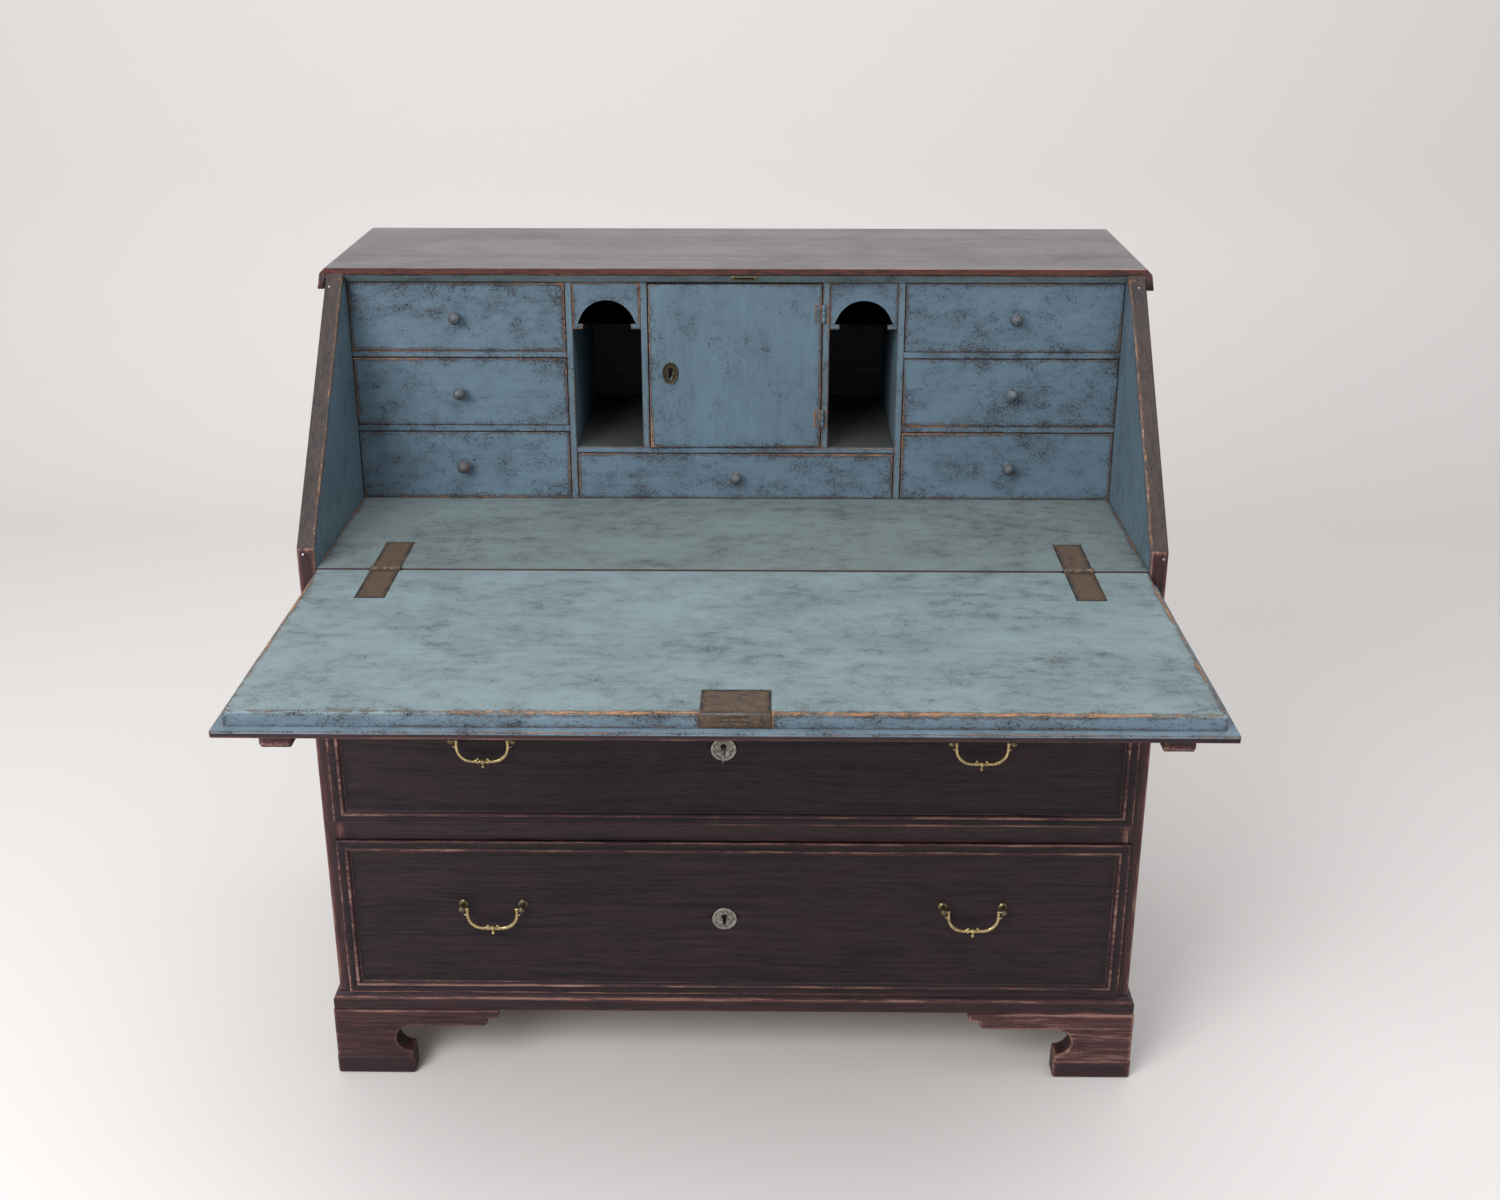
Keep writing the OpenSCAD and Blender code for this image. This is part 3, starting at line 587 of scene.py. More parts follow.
def make_tarnish():
    """Metal that is dull in broad patches, pitted in small ones, and bright where rubbed."""
    tree, given, out = new_group("tarnish", [("Size", FLOAT, 90.0)], ["Dull", "Pits", "Rub"])
    place = put(tree, "ShaderNodeTexCoord").outputs["Object"]
    broad = noise(tree, place, given["Size"], 4.0, 0.6)
    small = noise(tree, place, times(tree, given["Size"], 7.0), 5.0, 0.65)
    rub = noise(tree, place, times(tree, given["Size"], 2.5), 3.0, 0.5)
    feed(tree, out["Dull"], between(tree, broad, 0.35, 0.65))
    feed(tree, out["Pits"], between(tree, small, 0.52, 0.68))
    feed(tree, out["Rub"], between(tree, rub, 0.45, 0.62))
    return tree


# %% Build the node groups once
grain_group = make_grain()
rubbed_group = make_rubbed()
mottle_group = make_mottle()
dirt_and_shade_group = make_dirt_and_shade()
tarnish_group = make_tarnish()
print("node groups:", [g.name for g in bpy.data.node_groups])


# %% [markdown]
# Each material keeps its own Principled shader. The groups only hand it colours and masks, so
# any finish can be changed by itself, and the same wear serves polish and paint.

# %% Start of a material, and its relief
def new_material(name):
    """A material with only its Principled shader."""
    material = bpy.data.materials.new(name)
    material.use_nodes = True
    return material, material.node_tree, material.node_tree.nodes["Principled BSDF"]


def bump(tree, shader, height, distance, strength=1.0):
    """Relief from a height value, with its depth in metres."""
    node = put(tree, "ShaderNodeBump", Height=height, Distance=distance, Strength=strength)
    feed(tree, shader.inputs["Normal"], node.outputs[0])


# %% [markdown]
# ## Dark polish
# The outside is stained almost black over a red ground, then rubbed: grain lines show red,
# arrises are worn to red-brown and in places to pale pinkish wood. It is layered the same
# way here: dark coat, thin band, bare wood.

# %% Dark polish
def dark_polish(name, along, coat, ground, thin, bare, wear=(0.92, 0.60), gloss=0.42, show=0.5,
                sheen=0.3, ragged=0.8, bands=0.3):
    """coat is the stain, ground the red under it, thin the half-worn band and bare the wood;
    wear says how near an arris the bare wood and the thin band start."""
    material, tree, shader = new_material(name)
    grain = place_group(tree, grain_group, Along=along)
    rubbed = place_group(
        tree, rubbed_group, Along=tuple(0.9 * a + 0.02 for a in along), Ragged=ragged,
        **{"Bare from": wear[0], "Thin from": wear[1]},
    )
    dirt = place_group(tree, dirt_and_shade_group, Patchy=0.35)
    lines = times(tree, grain["Streaks"], show)
    colour = mix(tree, lines, coat, ground)
    colour = mix(tree, times(tree, grain["Bands"], bands), colour, ground)
    worn = mix(tree, grain["Streaks"], thin, ground)
    colour = mix(tree, times(tree, rubbed["Thin"], 0.8), colour, worn)
    wood = mix(tree, times(tree, grain["Streaks"], 0.7), bare, thin)
    colour = mix(tree, times(tree, rubbed["Bare"], 0.85), colour, wood)
    colour = mix(tree, times(tree, grain["Pores"], 0.6), colour, (0.008, 0.006, 0.007))
    # dirt in patches, and painted shade in marked recesses such as keyholes
    colour = mix(tree, times(tree, dirt["Dirt"], 0.6), colour, (0.010, 0.009, 0.011))
    feed(tree, shader.inputs["Base Color"], colour)
    shader.inputs["Specular IOR Level"].default_value = sheen
    rough = plus(tree, gloss, times(tree, grain["Streaks"], 0.14))
    rough = plus(tree, rough, times(tree, rubbed["Thin"], 0.12))
    rough = plus(tree, rough, times(tree, dirt["Dirt"], 0.15), clamp=True)
    feed(tree, shader.inputs["Roughness"], rough)
    height = minus(tree, times(tree, grain["Streaks"], -0.5), grain["Pores"])
    height = minus(tree, height, times(tree, rubbed["Bare"], 0.8))
    bump(tree, shader, height, 0.00025)
    return material


ALONG_X = (0.045, 1.0, 1.0)
ALONG_Y = (1.0, 0.045, 1.0)
ALONG_Z = (1.0, 1.0, 0.045)
CASE = dict(
    coat=(0.013, 0.009, 0.011), ground=(0.051, 0.021, 0.024), thin=(0.098, 0.039, 0.038),
    bare=(0.34, 0.18, 0.14), sheen=0.25, show=0.7,
)
finishes = {
    "polish_x": dark_polish("dark_polish_across", ALONG_X, **CASE),
    "polish_y": dark_polish("dark_polish_deep", ALONG_Y, **CASE),
    "polish_z": dark_polish("dark_polish_upright", ALONG_Z, **CASE),
    "front": dark_polish(
        "drawer_front_polish", ALONG_X, coat=(0.005, 0.004, 0.007), ground=(0.038, 0.020, 0.023),
        thin=(0.085, 0.033, 0.032), bare=(0.36, 0.20, 0.16), wear=(0.93, 0.55), gloss=0.44,
        show=0.8, sheen=0.2, ragged=0.95,
    ),
    # the top's coat is tinted blue and its ground greyed and lightened: partly painted reflection of the
    # bright window and wall, over its dark polish
    "top": dark_polish(
        "top_polish", (0.02, 0.4, 1.0), coat=(0.024, 0.024, 0.032), ground=(0.150, 0.132, 0.140),
        thin=(0.14, 0.066, 0.052), bare=(0.38, 0.22, 0.17), wear=(0.95, 0.85), gloss=0.28,
        show=1.0, sheen=0.5, bands=0.5,
    ),
    "band": dark_polish(
        "top_edge_polish", (0.25, 1.0, 1.0), coat=(0.016, 0.009, 0.009), ground=(0.088, 0.028, 0.020),
        thin=(0.095, 0.042, 0.034), bare=(0.42, 0.24, 0.19), wear=(1.0, 0.85), gloss=0.6, show=0.85,
        sheen=0.12,
    ),
    "edge": dark_polish(
        "slant_edge_polish", (1.0, 0.3, 0.3), coat=(0.018, 0.014, 0.015), ground=(0.070, 0.048, 0.042),
        thin=(0.105, 0.062, 0.044), bare=(0.42, 0.24, 0.13), wear=(0.97, 0.80), gloss=0.55, show=0.75,
    ),
}
print("polishes:", list(finishes))


# %% [markdown]
# ## Old paint
# The inside was painted blue-green by brush, long ago. The coat is mottled, flakes show the
# dark wood in fine broken lines, and every arris is rubbed through to orange-tan pine with a
# brown border. Level boards are greyer and greener than upright ones, from light and wiping.

# %% Old paint
def old_paint(name, along, light, deep, chipped=0.5, wear=(0.98, 0.70), bare=(0.31, 0.155, 0.080),
              ragged=0.70, haze=0.30):
    """light and deep are the coat where it is fresh and where it has sunk, and haze is how
    much brown film lies on it; chipped is the share of flakes, and wear is as for the polish."""
    material, tree, shader = new_material(name)
    grain = place_group(tree, grain_group, Along=along)
    paint = place_group(
        tree, mottle_group, Along=tuple(0.35 * a + 0.65 for a in along), Chipped=chipped,
    )
    rubbed = place_group(
        tree, rubbed_group, Along=tuple(0.6 * a + 0.2 for a in along), Ragged=ragged,
        **{"Bare from": wear[0], "Thin from": wear[1]},
    )
    dirt = place_group(tree, dirt_and_shade_group, Patchy=0.3)
    colour = mix(tree, times(tree, paint["Cloud"], 0.5), light, deep)
    colour = mix(tree, times(tree, paint["Patch"], 0.25), colour, deep)
    brush = times(tree, grain["Streaks"], 0.25)
    colour = mix(tree, brush, colour, tuple(min(1.0, 1.35 * c) for c in light))
    # a thin brown film where the coat has gone matt, and grit in it
    film = times(tree, times(tree, paint["Patch"], paint["Cloud"]), haze)
    colour = mix(tree, film, colour, (0.055, 0.050, 0.048))
    grit = tuple(0.55 * c for c in deep)
    colour = mix(tree, times(tree, paint["Speck"], 0.38), colour, grit)
    colour = mix(tree, times(tree, rubbed["Thin"], 0.65), colour, (0.065, 0.045, 0.038))
    under = mix(tree, grain["Streaks"], (0.050, 0.038, 0.035), (0.018, 0.017, 0.019))
    colour = mix(tree, times(tree, paint["Chips"], 0.9), colour, under)
    wood = mix(tree, times(tree, grain["Streaks"], 0.6), bare, (0.17, 0.078, 0.04))
    colour = mix(tree, times(tree, rubbed["Bare"], 0.9), colour, wood)
    # dirt in patches, and painted shade in marked recesses such as keyholes
    colour = mix(tree, times(tree, dirt["Dirt"], 0.45), colour, (0.022, 0.024, 0.025))
    feed(tree, shader.inputs["Base Color"], colour)
    shader.inputs["Specular IOR Level"].default_value = 0.35
    rough = plus(tree, 0.5, times(tree, paint["Chips"], 0.2))
    rough = minus(tree, rough, times(tree, rubbed["Bare"], 0.08))
    rough = plus(tree, rough, times(tree, paint["Patch"], 0.1), clamp=True)
    feed(tree, shader.inputs["Roughness"], rough)
    height = minus(tree, times(tree, grain["Streaks"], 0.35), paint["Chips"])
    height = minus(tree, height, rubbed["Bare"])
    bump(tree, shader, height, 0.00028)
    return material


finishes["paint_x"] = old_paint(
    "blue_paint_across", ALONG_X, light=(0.118, 0.180, 0.232), deep=(0.072, 0.112, 0.150), chipped=0.62,
)
finishes["paint_z"] = old_paint(
    "blue_paint_upright", ALONG_Z, light=(0.120, 0.180, 0.222), deep=(0.075, 0.118, 0.150), chipped=0.40,
    haze=0.2,
)
finishes["paint_door"] = old_paint(
    "blue_paint_door", ALONG_Z, light=(0.116, 0.178, 0.226), deep=(0.078, 0.124, 0.160), chipped=0.50,
    wear=(0.80, 0.62), ragged=0.55, bare=(0.33, 0.20, 0.13), haze=0.2,
)
finishes["paint_level"] = old_paint(
    "blue_paint_level", ALONG_X, light=(0.200, 0.262, 0.275), deep=(0.130, 0.172, 0.180), chipped=0.50,
    wear=(0.96, 0.78), ragged=0.7, bare=(0.40, 0.20, 0.095),
)
finishes["paint_rebate"] = old_paint(
    "blue_paint_rebate", ALONG_X, light=(0.150, 0.215, 0.265), deep=(0.090, 0.130, 0.165), chipped=0.5,
)
# a darker, greener copy for the writing board: partly its own colour, partly painted shade from the gallery
# above it
finishes["paint_board"] = old_paint(
    "shaded_grey_paint_level", ALONG_X, light=(0.158, 0.196, 0.196), deep=(0.105, 0.130, 0.130), chipped=0.55,
)
# a dark copy of the paint for the top of the gallery's floor board: painted shade inside the gallery
finishes["paint_floor"] = old_paint(
    "shaded_paint_gallery_floor", ALONG_X, light=(0.060, 0.064, 0.060), deep=(0.034, 0.036, 0.034), chipped=0.5,
)
# near-black paint for the back's inner face above the writing board: painted shade in the pigeonholes
finishes["paint_inner"] = old_paint(
    "painted_shade_inside", ALONG_X, light=(0.030, 0.044, 0.058), deep=(0.018, 0.026, 0.034), chipped=0.4,
)
print("paints:", [name for name in finishes if name.startswith("paint")])


# %% [markdown]
# ## Bare pine
# Drawer sides, bottoms, runners and the back were never finished. They are pine, brown with
# age, darker where hands and dust reach.

# %% Bare pine
def bare_pine(name, along, light=(0.36, 0.225, 0.12), dark=(0.17, 0.095, 0.05)):
    """light early wood and dark late wood, with dirt in patches."""
    material, tree, shader = new_material(name)
    grain = place_group(tree, grain_group, Along=along)
    dirt = place_group(tree, dirt_and_shade_group, Patchy=0.7)
    colour = mix(tree, grain["Bands"], light, dark)
    colour = mix(tree, times(tree, grain["Streaks"], 0.45), colour, dark)
    colour = mix(tree, times(tree, grain["Pores"], 0.3), colour, (0.05, 0.03, 0.02))
    colour = mix(tree, times(tree, dirt["Dirt"], 0.45), colour, (0.07, 0.055, 0.045))
    feed(tree, shader.inputs["Base Color"], colour)
    rough = plus(tree, 0.62, times(tree, grain["Streaks"], 0.15))
    feed(tree, shader.inputs["Roughness"], rough)
    bump(tree, shader, minus(tree, grain["Streaks"], grain["Pores"]), 0.00025)
    return material


finishes["pine_x"] = bare_pine("bare_pine_across", ALONG_X)
finishes["pine_y"] = bare_pine("bare_pine_deep", ALONG_Y)


# %% [markdown]
# ## Metals
# The handles are cast brass, dull brown-green in the hollows and bright where fingers rub.
# The round lock plates are brass gone silver-grey. The fall's hinges and lock are iron with
# dark rust, and the key is worn grey iron.

# %% Metals
def old_metal(name, bright, dull, deep, size=90.0, metal=(0.95, 0.55), rough=(0.22, 0.5), pit=0.00012):
    """bright where rubbed, dull in patches, deep in the pits; each pair is clean, dull."""
    material, tree, shader = new_material(name)
    tarnish = place_group(tree, tarnish_group, Size=size)
    dirt = place_group(tree, dirt_and_shade_group, Patchy=0.2)
    cover = times(tree, tarnish["Dull"], minus(tree, 1.0, tarnish["Rub"]))
    colour = mix(tree, cover, bright, dull)
    colour = mix(tree, times(tree, tarnish["Pits"], 0.55), colour, deep)
    # dirt and patina in hollows, and painted shade in marked slots and keyholes
    colour = mix(tree, dirt["Dirt"], colour, deep)
    feed(tree, shader.inputs["Base Color"], colour)
    worn = sums(tree, "MAXIMUM", cover, times(tree, tarnish["Pits"], 0.8))
    feed(tree, shader.inputs["Metallic"], between(tree, worn, 0.0, 1.0, metal[0], metal[1]))
    feed(tree, shader.inputs["Roughness"], between(tree, worn, 0.0, 1.0, rough[0], rough[1]))
    height = plus(tree, times(tree, tarnish["Pits"], -1.0), tarnish["Dull"])
    bump(tree, shader, height, pit)
    return material


finishes["brass"] = old_metal(
    "worn_brass", (0.62, 0.47, 0.22), (0.27, 0.21, 0.11), (0.06, 0.05, 0.03), size=160.0,
)
finishes["dark_brass"] = old_metal(
    "dark_brass", (0.24, 0.19, 0.10), (0.075, 0.064, 0.042), (0.022, 0.019, 0.014), size=240.0,
    rough=(0.28, 0.6),
)
finishes["bronze"] = old_metal(
    "dark_bronze", (0.115, 0.088, 0.050), (0.046, 0.037, 0.025), (0.012, 0.010, 0.008), size=240.0,
    rough=(0.35, 0.6),
)
finishes["silvered"] = old_metal(
    "silvered_brass", (0.38, 0.355, 0.31), (0.17, 0.155, 0.13), (0.028, 0.025, 0.022), size=240.0,
    rough=(0.3, 0.55),
)
finishes["rust"] = old_metal(
    "rusted_iron", (0.135, 0.085, 0.052), (0.048, 0.034, 0.026), (0.012, 0.010, 0.009), size=75.0,
    metal=(0.35, 0.05), rough=(0.42, 0.75), pit=0.0004,
)
finishes["grey_iron"] = old_metal(
    "grey_iron", (0.36, 0.35, 0.35), (0.16, 0.15, 0.15), (0.04, 0.035, 0.035), size=200.0,
    rough=(0.3, 0.5),
)
print(len(finishes), "finishes")


# %% [markdown]
# ## From skins to pieces
# A piece is one or more skins in one mesh. Each skin has a finish, and a rule may give part
# of it another one, as on a side that is polished outside and painted inside. Doubles are
# merged and the faces turned outwards once the skins are together.

# %% Make a piece
def piece(name, body, skins, replaces=(), cuts=()):
    """skins holds (skin, finish, *swaps); a swap is (other finish, rule on face centres), and
    the last rule that holds wins. A cut (axis, place) adds an edge where a finish stops."""
    points, faces, arris, recess, owner = [], [], [], [], []
    used, start = [], 0
    for number, ((p, f, a, r), finish, *swaps) in enumerate(skins):
        points.append(p)
        arris.append(a)
        recess.append(r)
        faces += [[start + i for i in face] for face in f]
        used += [key for key in (finish, *(swap[0] for swap in swaps)) if key not in used]
        owner.append(np.full(len(f), number))
        start += len(p)
    shift = np.array([0.0, front_plane, 0.0])
    place = np.concatenate(points) * 0.001 + shift
    mesh = bpy.data.meshes.new(name)
    mesh.from_pydata(place.tolist(), [], faces)
    for label, values in (("arris", arris), ("recess", recess)):
        layer = mesh.attributes.new(label, "FLOAT", "POINT")
        layer.data.foreach_set("value", np.concatenate(values).astype(np.float32))
    mesh.polygons.foreach_set("material_index", np.concatenate(owner).astype(np.int32))
    mesh.polygons.foreach_set("use_smooth", np.ones(len(faces), bool))
    shell = bmesh.new()
    shell.from_mesh(mesh)
    bmesh.ops.remove_doubles(shell, verts=shell.verts, dist=1e-6)
    for axis, where in cuts:
        normal = np.eye(3)[axis]
        bmesh.ops.bisect_plane(
            shell, geom=[*shell.verts, *shell.edges, *shell.faces],
            plane_co=normal * where * 0.001 + shift * normal, plane_no=normal,
        )
    bmesh.ops.recalc_face_normals(shell, faces=shell.faces)
    shell.to_mesh(mesh)
    shell.free()
    number = np.empty(len(mesh.polygons), np.int32)
    mesh.polygons.foreach_get("material_index", number)
    centre = np.empty(3 * len(mesh.polygons))
    mesh.polygons.foreach_get("center", centre)
    centre = (centre.reshape(-1, 3) - shift) * 1000.0
    index = np.zeros(len(number), np.int32)
    for i, (_, finish, *swaps) in enumerate(skins):
        index[number == i] = used.index(finish)
        for other, rule in swaps:
            index[(number == i) & rule(centre)] = used.index(other)
    mesh.polygons.foreach_set("material_index", index)
    for key in used:
        mesh.materials.append(finishes[key])
    obj = bpy.data.objects.new(name, mesh)
    bpy.context.scene.collection.objects.link(obj)
    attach(obj, body)
    if replaces:
        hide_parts(*replaces)
    print(f"{name}: {len(mesh.polygons)} faces")
    return obj


def mirrored(skin):
    """The same skin on the other side of the desk."""
    points, faces, arris, recess = skin
    return points * np.array([-1.0, 1.0, 1.0]), [face[::-1] for face in faces], arris, recess


# %% [markdown]
# ## Carcase
# The sides are one board each, with the slant cut along the front. Inside, above the
# writing board, they are painted; the rest is dark polish.

# %% Sides
lap_z = side_hi[2]
knee_y, knee_z = slant(0.0, fall_thick)
knee_z -= knee_y * math.tan(slope)
paint_low = desk_h - 25        # the paint starts a little below the writing board's face


def slant_y(z):
    """Where the sides' slanted edge is at a height."""
    return (z - knee_z) / math.tan(slope)


foot_top = side_lo[2]
side_outline = [(0, foot_top), (depth, foot_top), (depth, lap_z), (slant_y(lap_z), lap_z), (0, knee_z)]


def side_board():
    """The right-hand side; the outer arris of its slant is less worn than the inner one, which
    the fall and hands rub."""
    points, faces, arris, recess = slab(side_outline, "x", in_half, half_w, rub=2.0, seed=3)
    outer = (points[:, 0] > in_half + 11.0) & (points[:, 2] > knee_z)
    return points, faces, arris * np.where(outer, 0.8, 1.0), recess


side_skin = side_board()
inside = lambda c: (np.abs(c[:, 0]) < in_half + 0.9) & (c[:, 2] > paint_low)
slanted = lambda c: (
    (np.abs(c[:, 0]) > in_half + 0.7) & (np.abs(c[:, 0]) < half_w - 0.3) & (c[:, 2] > knee_z + 1)
    & (c[:, 1] < slant_y(c[:, 2]) + 2.5)
)
for name, skin in (("side_right", side_skin), ("side_left", mirrored(side_skin))):
    piece(f"{name}_board", "carcase", [(skin, "polish_z", ("edge", slanted), ("paint_z", inside))],
          [name], cuts=[(2, paint_low)])


# %% [markdown]
# Round nail heads show near the ends of both slanted edges. Each is a small turned profile,
# set square to the slope and almost flush, as a driven head is.

# %% Nails
def nail(x, along):
    """A flat nail head driven into a slanted edge."""
    y, z = slant(along, fall_thick)
    out = (0.0, -math.sin(slope), math.cos(slope))
    return turned([(-0.8, 0.01), (-0.8, 1.7), (0.15, 1.7), (0.45, 1.2), (0.5, 0.01)], (x, y, z), out, 16)


nails = [nail(x, along) for x, along in ((-534, 391), (530, 392), (533, 10), (-531, 12))]
piece("edge_nails", "carcase", [(n, "grey_iron") for n in nails])

# %% [markdown]
# ## Top
# The top is one board lapped over the sides, with a slanted front band and a rebate under it
# that takes the edge of the closed fall. It is drawn as the polished plate above and the
# painted board below, because the finish changes there. A short nose of each side shows
# under the band.

# %% Top board
top_lo, top_hi = box_mm("top_board")
under_top = top_lo[2]
reach_top = 409.5              # how far up the closed fall the rebate is
top_half = half_w + 3.0
low_n = (under_top - desk_h - reach_top * math.sin(slope)) / math.cos(slope)
plate_outline = [
    (slant_y(total_h), total_h), slant(reach_top, fall_thick), slant(reach_top + 1.5, fall_thick),
    (slant(reach_top, fall_thick - 6)[0] + 2, lap_z), (top_hi[1], lap_z), (top_hi[1], total_h),
]
under_outline = [
    slant(reach_top, fall_thick - 0.5), slant(reach_top, low_n), (top_hi[1], under_top),
    (top_hi[1], lap_z - 0.1), (slant(reach_top + 8, fall_thick)[0], lap_z - 0.1),
]
nose_outline = [
    (slant_y(lap_z) + 0.1, lap_z), (slant_y(lap_z + 5) + 0.1, lap_z + 5), (slant_y(lap_z) + 14, lap_z + 5),
    (slant_y(lap_z) + 14, lap_z),
]
plate = slab(plate_outline, "x", -top_half, top_half, rub=1.2, seed=5, insets=(), reach=4.5)
under = slab(under_outline, "x", -in_half, in_half, rub=0.8, seed=6, insets=(), reach=5.0)
nose = slab(nose_outline, "x", in_half, half_w, rub=0.5, seed=7, insets=(), reach=3.0)
front_band = lambda c: (c[:, 2] < total_h - 0.8) & (c[:, 1] < 300)
piece("top_board_plate", "carcase", [
    (plate, "top", ("band", front_band)), (under, "paint_level"), (nose, "edge"),
    (mirrored(nose), "edge"),
], ["top_board"])

# %% [markdown]
# Each end of the top has a narrow moulding, with its front cut to the slant. It is one section
# carried straight back, and both of its arrises are worn.

# %% Top end mouldings
mould_lo, mould_hi = box_mm("top_mouldings")


def end_moulding_rows():
    """A moulding's section, carried from the slanted front to the back: a chamfer over a flat
    face, with rounded arrises."""
    a, b, low = half_w + 0.2, mould_hi[0], mould_lo[2]
    section = [
        (a, low), (b - 1.0, low), (b - 0.3, low + 0.3), (b, low + 1.0), (b, total_h - 7.0),
        (b - 0.3, total_h - 6.2), (b - 0.9, total_h - 5.4), (b - 5.6, total_h - 0.7),
        (b - 6.4, total_h - 0.5), (a, total_h - 1.5),
    ]
    return np.array([[[x, slant_y(z) + 0.3, z], [x, depth, z]] for x, z in section])


end_wear = [0, .5, 1, .7, .7, 1, .7, .7, 1, .3]
end_skin = loft(end_moulding_rows(), end_wear, [0] * 10, loop_path=False, loop_rows=True)
piece("top_end_mouldings", "carcase", [(end_skin, "polish_y"), (mirrored(end_skin), "polish_y")],
      ["top_mouldings"])

# %% [markdown]
# ## Boards between the sides
# The rails part the drawers and are polished like the front. The bottom, the runners that
# the drawers slide on and the five back planks are rough pine, only planed, so they keep the
# plain finish and a light rubbing. Above the writing board the back's inner face is made
# near-black instead: painted shade for the dark inside of the pigeonholes. The loper guides
# are dark, since they show when a loper is out.

# %% Level boards and rails
rail_d = box_mm("drawer_rails")[1][1]
rail_z = ((363, 397), (616, 650))
rails = [
    plank((-in_half, 0, low), (in_half, rail_d, high), rub=2.0, seed=11 + i)
    for i, (low, high) in enumerate(rail_z)
]
piece("drawer_rail_pair", "carcase", [(r, "polish_x") for r in rails], ["drawer_rails"])
lo, hi = box_mm("bottom_board")
piece("bottom_plank", "carcase", [(plank(lo, hi, seed=13), "pine_x")], ["bottom_board"])

# %% Runners, guides and back
runner_w, runner_h = 60.0, 12.0
back_front = depth - 14.0      # the inner face of the back
runners = []
for _, z in rail_z:
    one = plank((in_half - runner_w, rail_d + 0.2, z - runner_h), (in_half, back_front, z), seed=14)
    runners += [(one, "pine_y"), (mirrored(one), "pine_y")]
piece("runner_strips", "carcase", runners, ["drawer_runners"])
guide = plank((470, 0.4, rail_z[1][1]), (480.5, back_front, 725), rub=1.2, seed=15)
piece("guide_strips", "carcase", [(guide, "polish_y"), (mirrored(guide), "polish_y")], ["loper_guides"])
planks, gap = 5, 0.5
tall = (under_top - foot_top) / planks
# the inner face above the writing board is made near-black: painted shade in the pigeonholes
pigeonhole_shade_face = lambda c: (c[:, 1] < back_front + 0.8) & (c[:, 2] > desk_h)
back = []
for i in range(planks):
    low, high = foot_top + i * tall + gap, foot_top + (i + 1) * tall - gap
    one = plank((-in_half, back_front, low), (in_half, depth, high), rub=1.8, seed=20 + i)
    back.append((one, "pine_x", ("paint_inner", pigeonhole_shade_face)))
piece("back_planks", "carcase", back, ["back_boards"])

# %% [markdown]
# ## Plinth moulding and feet
# The moulding is a flat band under a sloping top, mitred at the front corners: one section,
# carried along a path of three legs, as a joiner planes one length and then cuts it. The
# bracket feet are sawn from thick board with a round bite and a step, and stand on a thicker
# sole. The rear pair has a plain board behind. Pine blocks are glued in the corners.

# %% Plinth moulding
plinth_hi = box_mm("plinth_moulding")[1]
plinth_out = plinth_hi[0] - half_w
face_out = plinth_out - 2.3    # the moulding's face stands behind the feet's


def plinth_rows():
    """The moulding's section as (out, height), at each of its four path corners: a flat face
    between a rounded lower arris and a long slope."""
    section = [
        (0.0, foot_top), (face_out - 1.6, foot_top), (face_out - 0.5, foot_top + 0.4),
        (face_out, foot_top + 1.5), (face_out, foot_top + 6.0), (face_out + 0.2, 113.5),
        (face_out + 0.2, 119.0), (face_out - 0.2, 121.0), (face_out - 1.0, 122.5), (face_out - 2.4, 123.8),
        (face_out - 4.5, 125.4), (face_out - 7.0, 127.2), (0.0, 130.0),
    ]
    rows = [
        [[-half_w - w, depth, z], [-half_w - w, -w, z], [half_w + w, -w, z], [half_w + w, depth, z]]
        for w, z in section
    ]
    worn = [0, .5, .8, .8, .3, .1, .5, .85, 1, .85, .4, .1, 0]
    # how much darker each row is made, most at the foot and where the slope meets the carcase
    dirt = [.5, .4, 0, 0, 0, 0, 0, 0, 0, 0, 0, .2, .8]
    return np.array(rows), worn, dirt


plinth_skin = loft(*plinth_rows(), loop_path=False, loop_rows=True)
piece("plinth_ogee", "carcase", [(plinth_skin, "polish_x")], ["plinth_moulding"])

# %% Bracket outline
foot_half = plinth_hi[0] - 1.0
foot_w, pad_h, thick = 105.5, 26.0, 30.0
bite_r, bite_z = 20.0, 57.5


def bracket_outline(flip=1.0, corner=0.0, start=0.0):
    """A bracket from start inwards: block with a round bite, arm and step, above the pad."""
    past = 2.0                 # how far the block's edge lies past the bite's centre
    edge = math.degrees(math.acos(past / bite_r))
    bite = arc(bite_r, -edge, edge - 360, 18, (foot_w - past, bite_z))
    outline = np.vstack([
        [(start, pad_h - 3), (foot_w, pad_h - 3)], bite,
        [(foot_w + 0.5, 79.0), (207.0, 79.0), (210.5, 82.5), (210.5, 91.0), (224.0, 91.0),
         (226.5, 93.5), (226.5, foot_top), (start, foot_top)],
    ])
    outline[:, 0] = corner + flip * outline[:, 0]
    return outline


# %% Parts of a foot
def bracket_side(corner, flip, start, seed):
    """The bracket that runs back along the left side, from the front or the rear corner."""
    outline = bracket_outline(flip, corner, start)
    return slab(outline, "x", -foot_half, -foot_half + thick - 1, rub=1.8, seed=seed, insets=(3.0,))


def sole(x0, x1, y0, y1, seed):
    """The thick pad under a bracket, with a rounded shoulder; x is counted from the corner."""
    low, high = (x0 - foot_half, y0, 0), (x1 - foot_half, y1, pad_h + 3)
    return plank(low, high, rub=4.5, wear=0.4, seed=seed, step=25.0)


def glue_block(y0, y1, seed):
    """A rough block behind the brackets."""
    return plank((-foot_half + thick - 2, y0, pad_h), (-foot_half + thick + 40, y1, foot_top), seed=seed)


